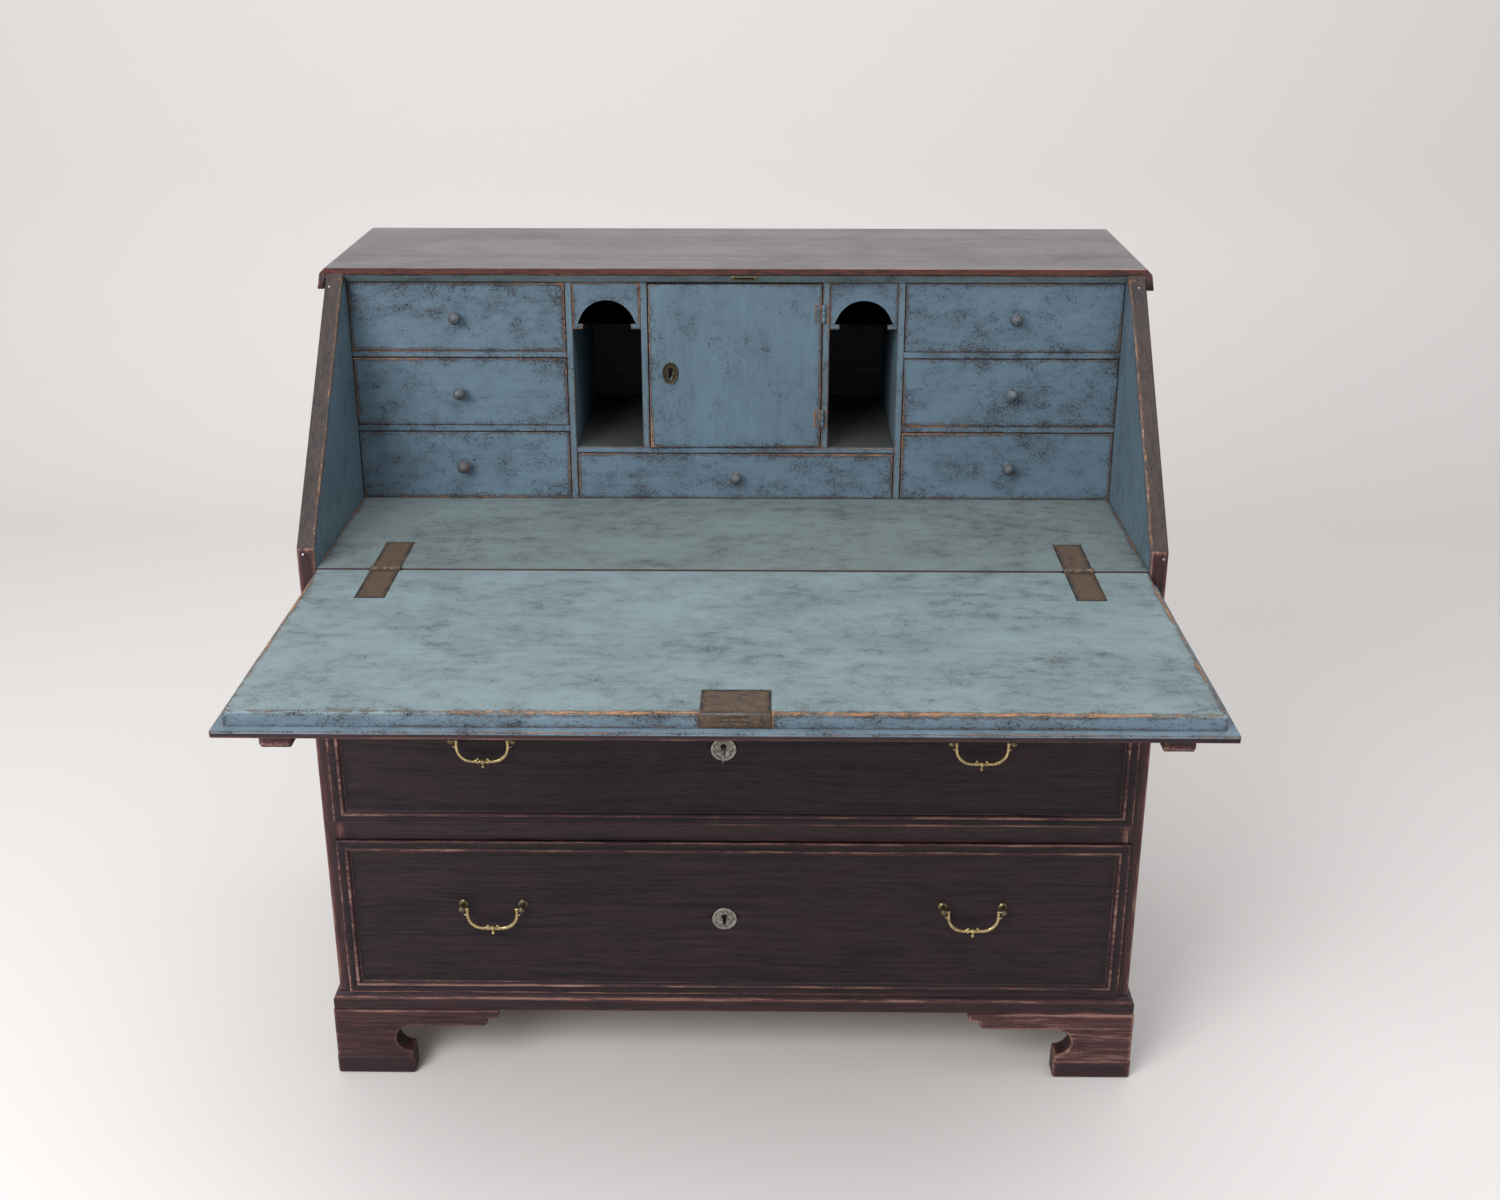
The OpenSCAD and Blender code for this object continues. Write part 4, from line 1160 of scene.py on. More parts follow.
# %% Feet
front_y = -plinth_out
front_arm = slab(bracket_outline(1, -foot_half), "y", front_y + 0.6, front_y + thick, rub=1.8, seed=31,
                 insets=(3.0,))
rear_board = plank((-foot_half, depth - 24, pad_h - 2), (-foot_half + foot_w, depth, foot_top),
                   rub=2.2, seed=37)
front_foot = [
    (front_arm, "polish_x"), (bracket_side(front_y, 1, thick - 2, 32), "polish_y"),
    (sole(-1, foot_w + 1, front_y, front_y + thick, 33), "polish_x"),
    (sole(-1, thick, front_y + thick - 6, front_y + foot_w + 1, 34), "polish_y"),
    (glue_block(front_y + thick - 2, front_y + thick + 40, 35), "pine_y"),
]
rear_foot = [
    (bracket_side(depth, -1, 22, 36), "polish_y"), (rear_board, "polish_x"),
    (sole(-1, thick, depth - foot_w - 1, depth - thick + 6, 38), "polish_y"),
    (sole(-1, foot_w + 1, depth - thick, depth + 1, 39), "polish_x"),
    (glue_block(depth - thick - 40, depth - thick + 8, 40), "pine_y"),
]
piece("front_bracket_feet", "carcase",
      front_foot + [(mirrored(s), f) for s, f in front_foot], ["front_feet"])
piece("rear_bracket_feet", "carcase",
      rear_foot + [(mirrored(s), f) for s, f in rear_foot], ["rear_feet"])

# %% [markdown]
# ## Writing board and fall
# Both are wide boards with notches at the meeting edges for the hinge knuckles. The fall is
# rebated on three edges, which leaves a lip below: here the board above the lip and the lip
# itself are two skins of one piece.

# %% The notched outline
hinge_x, knuckle_half, notch = 430.5, 19.0, 4.9


def notched(x0, x1, y0, y1, edge, toward):
    """A rectangle in plan whose edge at y = edge is notched for the two knuckles."""
    depth_y = edge + toward * (notch - abs(edge))
    run = [(x0, edge)]
    for x in (-hinge_x, hinge_x):
        run += [(x - knuckle_half, edge), (x - knuckle_half, depth_y),
                (x + knuckle_half, depth_y), (x + knuckle_half, edge)]
    run.append((x1, edge))
    far = y1 if toward > 0 else y0
    return run + [(x1, far), (x0, far)]


# %% Writing board
board_lo, board_hi = box_mm("writing_board")
outline = notched(-in_half, in_half, 1.0, board_hi[1], 1.0, 1.0)
writing = slab(outline, "z", board_lo[2], desk_h - 0.15, rub=1.5, seed=41, insets=(3.0, 11.0))
joint_line = lambda c: (c[:, 1] < 2.6) & (c[:, 2] < desk_h)
# the writing board takes the darker paint: partly painted shade from the gallery
piece("writing_surface", "carcase", [(unworn(writing, 1, 1.0), "paint_board", ("polish_x", joint_line))],
      ["writing_board"])

# %% Fall
body_half = in_half - 2.0
lock_x, plate_half = 12.5, 37.0
fall_reach = 408.5             # from the hinge pins to the board's front edge, above the lip
outline = notched(-body_half, body_half, -fall_reach, -1.5, -1.5, -1.0)
housing = (lock_x - plate_half - 0.2, lock_x + plate_half + 0.2)    # sunk for the lock's folded plate
outline = outline[:-2] + [
    (body_half, -fall_reach), (housing[1], -fall_reach), (housing[1], -fall_reach + 1.9),
    (housing[0], -fall_reach + 1.9), (housing[0], -fall_reach), (-body_half, -fall_reach),
]
lip_z = desk_h - 17.5
inner = slab(outline, "z", lip_z - 2.0, desk_h - 0.15, rub=2.6, wear=0.75, seed=42, insets=(3.0, 12.0))
lip = plank(fall_lo, (fall_hi[0], -1.5, lip_z), rub=2.2, seed=43, reach=4.0)
under_lip = lambda c: (c[:, 2] < lip_z - 2.8) | (c[:, 1] > -3.0)
front_wall = lambda c: (c[:, 1] < -fall_reach + 1.2) & (c[:, 2] < desk_h - 2.5)
hinge_edge = lambda c: c[:, 1] > -3.0
piece("fall_panel", "fall", [
    (unworn(inner, 1, -1.5), "paint_level", ("paint_rebate", front_wall), ("polish_x", hinge_edge)),
    (unworn(lip, 1, -1.5), "paint_rebate", ("polish_x", under_lip)),
], ["fall_board"])

# %% [markdown]
# ## Fall fittings
# Strap hinges with a three-part knuckle are let in flush, each leaf held by three
# countersunk screws. The lock's iron plate folds over the fall's edge, and its bolt shows in
# the slot of the folded part.

# %% Screws
def screw(centre, axis=(0.0, 0.0, 1.0), radius=3.4, rise=0.35):
    """A slightly domed screw head: a profile spun round its axis. The slot is a shallow
    bar-shaped dip, taken from the height of the points near one line."""
    profile = [(-0.6, radius), (rise * 0.3, radius), (rise * 0.8, radius * 0.86), (rise, radius * 0.6),
               (rise * 1.1, radius * 0.3), (rise * 1.1, 0.01)]
    points, faces, arris, recess = turned(profile, centre, axis, 20)
    turn = float(np.sum(centre)) % math.pi
    along = np.cross(axis, [math.cos(turn), math.sin(turn), 0.3])
    off = np.abs((points - np.array(centre)) @ (along / np.linalg.norm(along)))
    dip = (off < radius * 0.22) & (np.linalg.norm(points - np.array(centre), axis=1) < radius * 0.9)
    points = points - 0.7 * dip[:, None] * np.array(axis)
    return points, faces, arris, recess + 0.9 * dip


def knuckle(x0, x1, y, z, radius):
    """A hinge knuckle: a short barrel along x with eased ends."""
    ease = 0.35
    profile = [(0, 0.01), (0, radius - ease), (ease, radius), (x1 - x0 - ease, radius),
               (x1 - x0, radius - ease), (x1 - x0, 0.01)]
    return turned(profile, (x0, y, z), (1.0, 0.0, 0.0), 32)


def let_in(skin):
    """The same skin with dirt along its borders, as round iron that is sunk into wood."""
    points, faces, arris, recess = skin
    return points, faces, arris, np.maximum(recess, 1.1 * arris)


# %% Fall hinges
leaf_half, leaf_l, leaf_t, knuckle_r = 18.5, 97.0, 2.5, 4.2
third = leaf_half / 3
fixed, moving = [], []
for number, x in enumerate((-hinge_x, hinge_x)):
    top = desk_h + 0.05
    low = desk_h - leaf_t
    fixed.append(let_in(plank((x - leaf_half, 4.6, low), (x + leaf_half, leaf_l, top), rub=0.6,
                              seed=50 + number, step=12, reach=6.0)))
    moving.append(let_in(plank((x - leaf_half, -leaf_l, low), (x + leaf_half, -4.6, top), rub=0.6,
                               seed=52 + number, step=12, reach=6.0)))
    moving.append(plank((x - third, -12.0, low), (x + third, -1.0, top - 0.1), rub=0.4, seed=54, step=12))
    moving.append(knuckle(x - third, x + third, 0.0, desk_h, knuckle_r))
    for a, b in ((x - leaf_half, x - third - 0.2), (x + third + 0.2, x + leaf_half)):
        fixed.append(plank((a, 1.0, low), (b, 12.0, top - 0.1), rub=0.4, seed=55, step=12))
        fixed.append(knuckle(a, b, 0.0, desk_h, knuckle_r))
    for y, dx in ((24.0, -9.0), (52.0, 8.0), (82.0, -7.0)):
        fixed.append(screw((x + dx, y, top)))
        moving.append(screw((x - dx, -y, top)))
piece("fall_hinge_leaves_inner", "carcase", [(s, "rust") for s in fixed], ["fall_hinge_fixed_leaves"])
piece("fall_hinge_leaves_outer", "fall", [(s, "rust") for s in moving], ["fall_hinge_moving_leaves"])

# %% Fall lock plate
plate_l, plate_t = 58.0, 2.0
plate = let_in(plank((lock_x - plate_half, -fall_reach, desk_h - plate_t),
                     (lock_x + plate_half, -fall_reach + plate_l, desk_h + 0.1), rub=0.7, seed=60, step=12,
                     reach=8.0))
fold = turned([(0, 0.01), (0, 1.0), (2 * plate_half - 2, 1.0), (2 * plate_half - 2, 0.01)],
              (lock_x - plate_half + 1, -fall_reach + 0.9, desk_h - 0.8), (1.0, 0.0, 0.0), 20)
slot_z = (desk_h - 10.5, desk_h - 5.0)
slot_half = 14.0
plate_edges = (lock_x - plate_half, lock_x + plate_half, lip_z + 0.2, desk_h - 0.4)
slot_edges = (lock_x - slot_half, lock_x + slot_half, *slot_z)


def framed(outer, hole, y_front, y_back, ease=0.5):
    """A plate with an oblong hole: rectangles that step from the outer back edge round the
    front face into the hole and back, closed into a ring."""

    def ring(edges, drawn_in, y):
        """The rectangle with these edges, drawn in on all four sides."""
        x0, x1, z0, z1 = edges
        return rectangle(x0 + drawn_in, x1 - drawn_in, z0 + drawn_in, z1 - drawn_in, y)

    rows = [
        ring(outer, 0.0, y_back), ring(outer, 0.0, y_front + ease), ring(outer, ease, y_front),
        ring(hole, -ease, y_front), ring(hole, 0.0, y_front + ease), ring(hole, 0.0, y_back),
    ]
    # the walls of the hole are made dark, most at the back: painted shade in the slot
    return loft(rows, [0] * 6, [0, 0, 0, .3, 1, 1], loop_rows=True, step=10.0)


# %% Fall lock, put together
selvedge = framed(plate_edges, slot_edges, -fall_reach - 0.05, -fall_reach + plate_t)
bolt = plank((lock_x - 12.5, -fall_reach + 0.6, slot_z[0] + 0.8),
             (lock_x + 12.5, -fall_reach + 9.0, slot_z[1] - 0.8), rub=0.5, seed=61, step=10)
case = plank((lock_x - 28, -fall_reach + 2.2, desk_h - 16.5), (lock_x + 28, -fall_reach + 52, desk_h - 2),
             rub=0.8, seed=62)
screws = [screw((lock_x + dx, -fall_reach + dy, desk_h + 0.1)) for dx, dy in
          ((-30, 12), (30, 12), (-30, 46), (30, 46))]
piece("fall_lock_plate", "fall",
      [(s, "rust") for s in (plate, selvedge, bolt, case, *screws)] + [(fold, "grey_iron")], ["fall_lock"])

# %% [markdown]
# The striker is a small brass plate with an oblong hole, let into the rebate of the top, where
# the fall's bolt would catch. Behind the hole lies a thin plate of dark bronze that stands for
# the shadowed mortise: painted shade.

# %% Striker plate
def on_rebate(skin):
    """Carries a skin to the rebate under the top's front edge, square to the closed fall."""
    points, faces, arris, recess = skin
    y, z = slant(reach_top, fall_thick / 2)
    c, s = math.cos(slope), math.sin(slope)
    placed = np.stack([points[:, 0] + lock_x, y + points[:, 1] * c - points[:, 2] * s,
                       z + points[:, 1] * s + points[:, 2] * c], -1)
    return placed, faces, arris, recess


striker = framed((-18.0, 18.0, -5.0, 5.0), (-13.0, 13.0, -2.5, 2.5), -0.35, 1.4, ease=0.3)
# a dark bronze plate in place of the mortise's shade: painted shade
mortise_shade_plate = plank((-13.2, -0.12, -2.7), (13.2, 0.6, 2.7), rub=0.1, seed=63, step=10)
piece("brass_striker", "carcase", [(on_rebate(striker), "brass"), (on_rebate(mortise_shade_plate), "bronze")],
      ["striker_plate"])

# %% [markdown]
# ## Lopers
# The two bars that hold up the fall slide out beside the top drawer. Their front ends are
# rubbed round by the hands that pull them.

# %% Lopers
for name in ("loper_left", "loper_right"):
    lo, hi = box_mm(name)
    ease = 6.0
    outline = [(lo[1], lo[2] + ease), (lo[1] + ease, lo[2]), (hi[1], lo[2]), (hi[1], hi[2]), (lo[1], hi[2])]
    skin = slab(outline, "x", lo[0], hi[0], rub=2.6, seed=65, insets=(3.0, 10.0))
    piece(f"{name}_bar", name, [(skin, "polish_y")], [name])

# %% [markdown]
# ## Long drawers
# Each front has a lip that laps over the carcase, a flat band, a rounded moulding and a sunk
# field. All of it is one loft: rectangles that step inwards and back, with the rows at the
# arrises marked as worn. Where there is a lock, the rows end in the keyhole's own outline,
# which runs right through the front.

# %% The keyhole
lip_proud, band_w, frame_w, field_y = 8.0, 11.0, 20.0, -3.5
hole_up = 3.5                  # the keyhole's round part lies this much above the lock's centre


def keyhole_outline(x, z, count_per_side, y):
    """The keyhole as a closed run of points: a circle over a slot with straight sides."""
    angle = np.linspace(0, math.tau, 4 * count_per_side, endpoint=False) - math.radians(135)
    circle_r, half, drop = 3.6, 2.2, 8.5
    ray = np.stack([np.cos(angle), np.sin(angle)], -1)
    reach_slot = np.minimum(half / np.maximum(np.abs(ray[:, 0]), 1e-6),
                            (drop + hole_up) / np.maximum(-ray[:, 1], 1e-6))
    reach = np.where(ray[:, 1] < 0, np.maximum(circle_r, reach_slot), circle_r)
    points = np.empty((len(angle), 3))
    points[:, 0] = x + ray[:, 0] * reach
    points[:, 1] = y
    points[:, 2] = z + hole_up + ray[:, 1] * reach
    return points


def rays_through(hole, x, z):
    """Directions from the keyhole's centre through its points, and their distances."""
    angle = np.arctan2(hole[:, 2] - z - hole_up, hole[:, 0] - x)
    distance = np.hypot(hole[:, 0] - x, hole[:, 2] - z - hole_up)
    return np.stack([np.cos(angle), np.sin(angle)], -1), distance


# %% Drawer front section
def front_rows(half, z, body):
    """Rows of rectangle corners from the back of the front board, round the lip and over the
    moulding to the field, with the wear of each row and how much darker it is made."""
    inner_half, inner_z, rear = body
    lip_z0, lip_z1 = z

    def ring(inset, y):
        """The outer edge of the lip, drawn in by inset."""
        return rectangle(-half + inset, half - inset, lip_z0 + inset, lip_z1 - inset, y)

    def core(y, ease=0.0):
        """The edge of the board behind the lip."""
        return rectangle(-inner_half + ease, inner_half - ease, inner_z[0] + ease, inner_z[1] - ease, y)

    p = -lip_proud
    return [
        (core(rear, 1.0), 0, 0), (core(rear - 1.0), 0, 0), (core(-0.3), 0, 0),
        (ring(0.0, -0.3), .1, 0), (ring(0.0, p + 3.4), .5, 0), (ring(0.3, p + 2.2), .9, 0),
        (ring(1.0, p + 1.45), 1, 0), (ring(2.4, p + 1.2), .8, 0), (ring(5.0, p + 1.2), .25, 0),
        (ring(band_w - 1.6, p + 1.2), .3, .4), (ring(band_w - 0.8, p + 1.5), .1, 1),
        (ring(band_w, p + 1.1), .5, .3), (ring(band_w + 0.7, p + 0.4), .9, 0),
        (ring(band_w + 2.0, p), 1, 0), (ring(band_w + 3.4, p + 0.3), .9, 0),
        (ring(band_w + 4.8, p + 1.2), .5, 0), (ring(band_w + 5.9, p + 2.4), .3, .3),
        (ring(band_w + 6.3, p + 3.2), .7, .2), (ring(band_w + 7.4, p + 3.4), .8, 0),
        (ring(frame_w - 1.0, p + 3.7), .4, .3), (ring(frame_w, field_y), 0, 1),
        (ring(frame_w + 2.5, field_y), 0, .6), (ring(frame_w + 12.0, field_y), 0, 0),
    ]


def board_front(steps, keyhole=None, seed=70, worn=0.7):
    """A front lofted from its steps, (corners, wear, darkening). With a keyhole, the last row is
    joined by straight rays to the keyhole's outline, which runs back through the board; the
    hole's far end is made dark as painted shade."""
    rows = [s[0] for s in steps]
    skin = loft(rows, [s[1] for s in steps], [s[2] for s in steps], worn=worn, seed=seed, step=30.0)
    if keyhole is None:
        return skin
    points, faces, arris, recess = skin
    count = len(points) // len(rows)
    grid = points.reshape(len(rows), count, 3)
    x, hole_z = keyhole
    front, rear = rows[-1][0][1], rows[0][0][1]
    last = grid[-1]
    angle = np.arctan2(last[:, 2] - (hole_z + hole_up), last[:, 0] - x)
    fine = keyhole_outline(x, hole_z, 90, front)
    fine_angle = np.unwrap(np.arctan2(fine[:, 2] - (hole_z + hole_up), fine[:, 0] - x))
    target = (angle - fine_angle[0]) % math.tau + fine_angle[0]
    hole = np.stack([np.interp(target, np.append(fine_angle, fine_angle[0] + math.tau),
                               np.append(fine[:, k], fine[0, k])) for k in range(3)], -1)
    share = np.array([0.25, 0.5, 0.75, 0.93])[:, None, None]
    web = last + share * (hole - last)
    deep = hole + np.array([0.0, rear - front, 0.0])
    grid = np.concatenate([grid, web, hole[None], deep[None]])
    extra = len(grid) - len(rows)
    faces = grid_faces(len(grid), count, loop_rows=True, loop_columns=True).tolist()
    arris = np.concatenate([arris, np.zeros(extra * count)])
    # the keyhole's far end is marked deep, so its walls darken towards the back: painted shade inside the
    # hole
    recess = np.concatenate([recess, np.repeat([0, 0, 0, 0, 0, 1.0], count)])
    return grid.reshape(-1, 3), faces, arris, recess


# %% [markdown]
# ## Handles
# A swan-neck handle is two turned posts and a cast bail that hangs between their balls. A
# founder casts the bail in one piece. Here it is a rod bent along its own curve, thicker at
# the bend, with the spurs, leaves, scroll tips and hanging drop added as rods and turnings.

# %% Handles
post_y, post_gap, handle_x = -18.0, 80.0, 321.0


def post(x, z):
    """A turned brass post: a flat rose on the field, a neck and a ball that holds the bail."""
    rose = [(-field_y, 0.01), (-field_y, 6.3), (-field_y + 0.7, 6.5), (-field_y + 1.6, 5.9),
            (-field_y + 2.3, 4.4), (-field_y + 3.6, 3.3), (-field_y + 6.0, 2.6),
            (-field_y + 9.2, 2.5), (-post_y - 4.0, 2.9)]
    ball = arc(4.6, 140, 0, 12)
    ball_part = [(-post_y + a, max(b, 0.01)) for a, b in ball]
    profile = np.array(rose + ball_part)
    return turned(profile, (x, 0.0, z), (0.0, -1.0, 0.0), 28)


def bail_path():
    """Half of the bail from its pin down to the middle, as x and z below the pin: straight
    down, a wide quarter round, then a bar that rises a little to its scrolled tip."""
    down = np.array([(32.8, 1.2), (32.9, -1.5), (33.2, -4.5), (32.9, -8.0)])
    bend = arc(20.5, -4, -80, 14, (12.5, -8.5))
    bar = np.array([(12.5, -29.3), (9.5, -28.9), (7.4, -27.6), (6.4, -25.9)])
    return np.vstack([down, bend[1:], bar])


def bail(sign, z):
    """The whole bail: two bars, spurs, pins, scroll tips and the drop with its bead."""
    x0 = sign * handle_x
    half = bail_path()
    bead = [(1.9 * math.cos(a), 1.9 * math.sin(a)) for a in np.linspace(2.6, 0.5, 7)]
    skins = []
    radii = np.interp(np.linspace(0, 1, len(half)), [0, .08, .3, .62, .9, 1], [2.2, 1.7, 2.0, 2.6, 2.3, 1.6])
    for side in (-1, 1):
        path = np.stack([x0 + side * half[:, 0], np.full(len(half), post_y), z + half[:, 1]], -1)
        ends = np.concatenate([[0.02], radii, [0.02]])
        path = np.vstack([path[:1] + [0, 0, 0.9], path, path[-1:] + [-side * 0.4, 0, 0.9]])
        skins.append(rod(path, ends, 16, squash=0.85))
        pin = [(0, 0.01), (0, 1.5), (5.5, 1.5), (6.3, 0.01)]
        skins.append(turned(pin, (x0 + side * 33.2, post_y, z), (side, 0, 0), 20))
        collar = [(0, 0.01), (0, 1.9), (0.6, 2.4), (1.2, 1.9), (1.4, 0.01)]
        skins.append(turned(collar, (x0 + side * 33.0, post_y, z), (side, 0, 0), 20))
        spur = np.array([(32.5, -9.0), (35.0, -9.2), (37.2, -8.3), (38.2, -7.0)])
        spur = np.stack([x0 + side * spur[:, 0], np.full(4, post_y), z + spur[:, 1]], -1)
        skins.append(rod(spur, [1.5, 1.3, 0.8, 0.05], 12))
        tip = (x0 + side * 6.2, post_y, z - 25.6)
        skins.append(turned([(-1.9, 0.01), *bead, (1.9, 0.01)], tip, (0, -1, 0), 18))
        leaf = np.array([(1.0, -28.0), (4.0, -29.6), (7.5, -31.2), (9.8, -31.4)])
        leaf = np.stack([x0 + side * leaf[:, 0], np.full(4, post_y), z + leaf[:, 1]], -1)
        skins.append(rod(leaf, [2.6, 2.1, 1.4, 0.05], 14, squash=0.8))
    drop = [(0, 0.01), (0.3, 1.8), (2.0, 3.6), (4.0, 4.0), (5.8, 3.2), (7.6, 2.2), (8.8, 1.1), (9.4, 0.9),
            (9.9, 1.5), (11.0, 2.15), (12.1, 2.2), (13.2, 1.6), (13.9, 0.01)]
    skins.append(turned(drop, (x0, post_y, z - 25.2), (0.0, 0.0, -1.0), 24))
    return skins


# %% [markdown]
# ## Round lock plates
# The keyholes of the two lower drawers have cast brass plates gone silver-grey, with a raised
# rim and low scrolls. Each is one surface over rings and rays: the height is a function of
# angle and radius, so the scrolls are true relief, as in a casting.

# %% Round lock plates
def lock_plate(x, z):
    """A cast round plate with a raised rim, a sunk ground and a low scrolled relief, built as
    rings round the keyhole: the height over the ground follows waves in angle and radius."""
    count, outer = 180, 16.5
    hole = keyhole_outline(x, z, count // 4, 0.0)
    rays, inner = rays_through(hole, x, z)
    share = np.concatenate([[0.0, 0.05], np.linspace(0.12, 0.80, 16), [0.84, 0.87, 0.92, 0.97, 1.0, 1.0]])
    # distance from the keyhole's centre to the rim along each ray
    along = -hole_up * rays[:, 1] + np.sqrt(outer**2 - (hole_up * rays[:, 0]) ** 2)
    radius = inner + share[:, None] * (along - inner)
    px, pz = x + radius * rays[:, 0], z + hole_up + radius * rays[:, 1]
    r = np.hypot(px - x, pz - z)
    theta = np.arctan2(pz - z, px - x)
    scroll = np.maximum(0.0, np.sin(5 * theta + 0.9 * np.sin(r * 0.8)))
    scroll = scroll * np.maximum(0, np.sin((r - 5.5) * 0.62))
    beads = 0.5 + 0.5 * np.cos(9 * theta) * np.cos((r - 9.5) * 1.1)
    relief = 0.55 * scroll + 0.3 * beads * (r < 13.0)
    ground, rim_h = 0.9, 2.0
    height = np.where(r < 13.2, ground + relief, ground)
    height = np.where((r >= 13.2) & (r < 16.2), rim_h, height)
    height[0], height[1] = ground + 0.4, ground + 0.7
    height[-2], height[-1] = rim_h - 0.7, 0.0
    grid = np.stack([px, field_y - height, pz], -1)
    back = np.stack([hole[:, 0], np.full(len(hole), field_y), hole[:, 2]], -1)
    grid = np.concatenate([back[None], grid])
    faces = grid_faces(len(grid), grid.shape[1], loop_rows=True, loop_columns=True).tolist()
    # the first ring, the keyhole's wall, is made dark as painted shade; the hollows of the relief are
    # darkened as patina
    deep = np.concatenate([np.ones((1, grid.shape[1])), np.clip(1.0 - relief / 0.35, 0, 1) * (r < 13.4)])
    return grid.reshape(-1, 3), faces, np.zeros(grid.shape[0] * grid.shape[1]), 0.8 * deep.ravel()


# %% [markdown]
# ## Long drawers, put together
# The boxes are plain pine boards, unfinished as they always were. Each drawer then takes its
# front, box, posts, two bails that swing on their own, and its lock, all from one plan.

# %% Drawer boxes
def drawer_box(half, z, seed):
    """Two sides, a back and a bottom, open at the top, each board its own skin."""
    y0, y1, t = 14.2, 530.0, 12.0
    side = plank((half - t, y0, z[0]), (half, y1, z[1]), rub=1.2, seed=seed)
    inside = half - t - 0.2
    rear = plank((-inside, y1 - t, z[0]), (inside, y1, z[1]), rub=1.2, seed=seed + 1)
    floor = plank((-inside, y0, z[0]), (inside, y1 - t - 0.2, z[0] + 8.0), rub=1.0, seed=seed + 2)
    return [(side, "pine_y"), (mirrored(side), "pine_y"), (rear, "pine_x"), (floor, "pine_x")]


# %% Build the long drawers
key_x = -11.0
# posts is the height of the handle posts, lock of the keyhole plate, both from the floor;
# inner_top is the top of the board behind the lip
long_drawers = {
    "lower": dict(posts=271.0, lock=250.0, inner_top=361.0, seed=70),
    "middle": dict(posts=521.0, lock=504.0, inner_top=612.0, seed=80),
    "top": dict(posts=694.0, lock=None, inner_top=721.5, seed=90),
}
for label, plan in long_drawers.items():
    lo, hi = box_mm(f"{label}_drawer_front")
    box_lo, box_hi = box_mm(f"{label}_drawer_box")
    body = f"{label}_drawer"
    inner_top = plan["inner_top"]
    keyhole = (key_x, plan["lock"]) if plan["lock"] else None
    core = (box_hi[0], (box_lo[2], inner_top), 14.0)
    skin = board_front(front_rows(hi[0], (lo[2], hi[2]), core), keyhole, plan["seed"])
    piece(f"{label}_drawer_moulded_front", body, [(skin, "front")], [f"{label}_drawer_front"])
    piece(f"{label}_drawer_boards", body, drawer_box(box_hi[0], (box_lo[2], box_hi[2]), plan["seed"] + 1),
          [f"{label}_drawer_box"])
    posts = [post(s * handle_x + t * post_gap / 2, plan["posts"]) for s in (-1, 1) for t in (-1, 1)]
    piece(f"{label}_turned_posts", body, [(p, "dark_brass") for p in posts], [f"{label}_drawer_handle_posts"])
    for sign, side in ((-1, "left"), (1, "right")):
        piece(f"{label}_swan_bail_{side}", f"{label}_bail_{side}",
              [(s, "brass") for s in bail(sign, plan["posts"])], [f"{label}_bail_{side}"])
    if plan["lock"]:
        case_lo, case_hi = box_mm(f"{label}_drawer_lock")
        case = plank((case_lo[0], 4.0, plan["lock"] - 14), (case_hi[0], 14.4, inner_top - 0.3),
                     rub=0.8, seed=99)
        piece(f"{label}_lock_plate", body,
              [(lock_plate(key_x, plan["lock"]), "silvered"), (case, "rust")], [f"{label}_drawer_lock"])

# %% [markdown]
# ## Key
# A small old key with a flat oval bow that stands upright in the lock, a collar and a plain
# bit. The bow is a rod bent round an oval in the plane of the key, flattened across.

# %% Key
def key_skins():
    """The key's stem spun round its axis, its bow as a bent rod, and its bit."""
    x, z, bow_y = key_x, 507.5, -27.0
    stem = [(-11.0, 0.01), (-11.0, 2.0), (-10.6, 2.3), (8.5, 2.3), (9.3, 3.0), (10.2, 3.4), (11.4, 2.6),
            (12.2, 3.4), (13.3, 3.2), (14.2, 2.5), (19.0, 2.3), (20.0, 0.01)]
    skins = [turned(stem, (x, 0.0, z), (0.0, -1.0, 0.0), 24)]
    angle = np.linspace(0, math.tau, 49)
    oval = np.stack([np.full(49, x), bow_y + 6.3 * np.cos(angle), z + 10.2 * np.sin(angle)], -1)
    skins.append(rod(oval, np.full(49, 1.75), 12, squash=0.8, across=(1.0, 0.0, 0.0)))
    skins.append(plank((x - 1.1, 4.8, z - 9.0), (x + 1.1, 10.0, z), rub=0.3, seed=5, step=4))
    return skins


piece("old_key", "key", [(s, "grey_iron") for s in key_skins()], ["key"])

# %% [markdown]
# ## Gallery
# Thin partitions and shelves make the pigeonholes and the drawer openings. Their front
# edges are the most handled. The arched valances are slabs with a half-round cut from the
# lower edge.

# %% Partitions, shelves and valances
gallery_y = box_mm("gallery_shelves")[0][1]
bay, door_half, panel_t = 218.0, 117.5, 9.0
floor_z = box_mm("gallery_shelves")[0][2]
skins = []
for x, low in ((bay, desk_h), (door_half, floor_z + 8.0)):
    one = plank((x, gallery_y, low), (x + panel_t, back_front, under_top), rub=1.1, seed=int(x), reach=4.5)
    skins += [(one, "paint_z"), (mirrored(one), "paint_z")]
piece("gallery_uprights", "carcase", skins, ["gallery_partitions"])
# the floor board's top face inside the gallery is made dark: painted shade
shaded_floor_top = lambda c: (c[:, 2] > floor_z + 7.5) & (c[:, 1] > gallery_y + 4)
skins = [(plank((-bay, gallery_y, floor_z), (bay, back_front, floor_z + 8.0), rub=1.1, seed=7, reach=4.5),
          "paint_x", ("paint_floor", shaded_floor_top))]
for z in (desk_h + 96.5, desk_h + 200.0):
    one = plank((bay + panel_t, gallery_y, z), (in_half, back_front, z + 8.5), rub=1.1, seed=int(z),
                reach=4.5)
    skins += [(one, "paint_x"), (mirrored(one), "paint_x")]
piece("gallery_levels", "carcase", skins, ["gallery_shelves"])

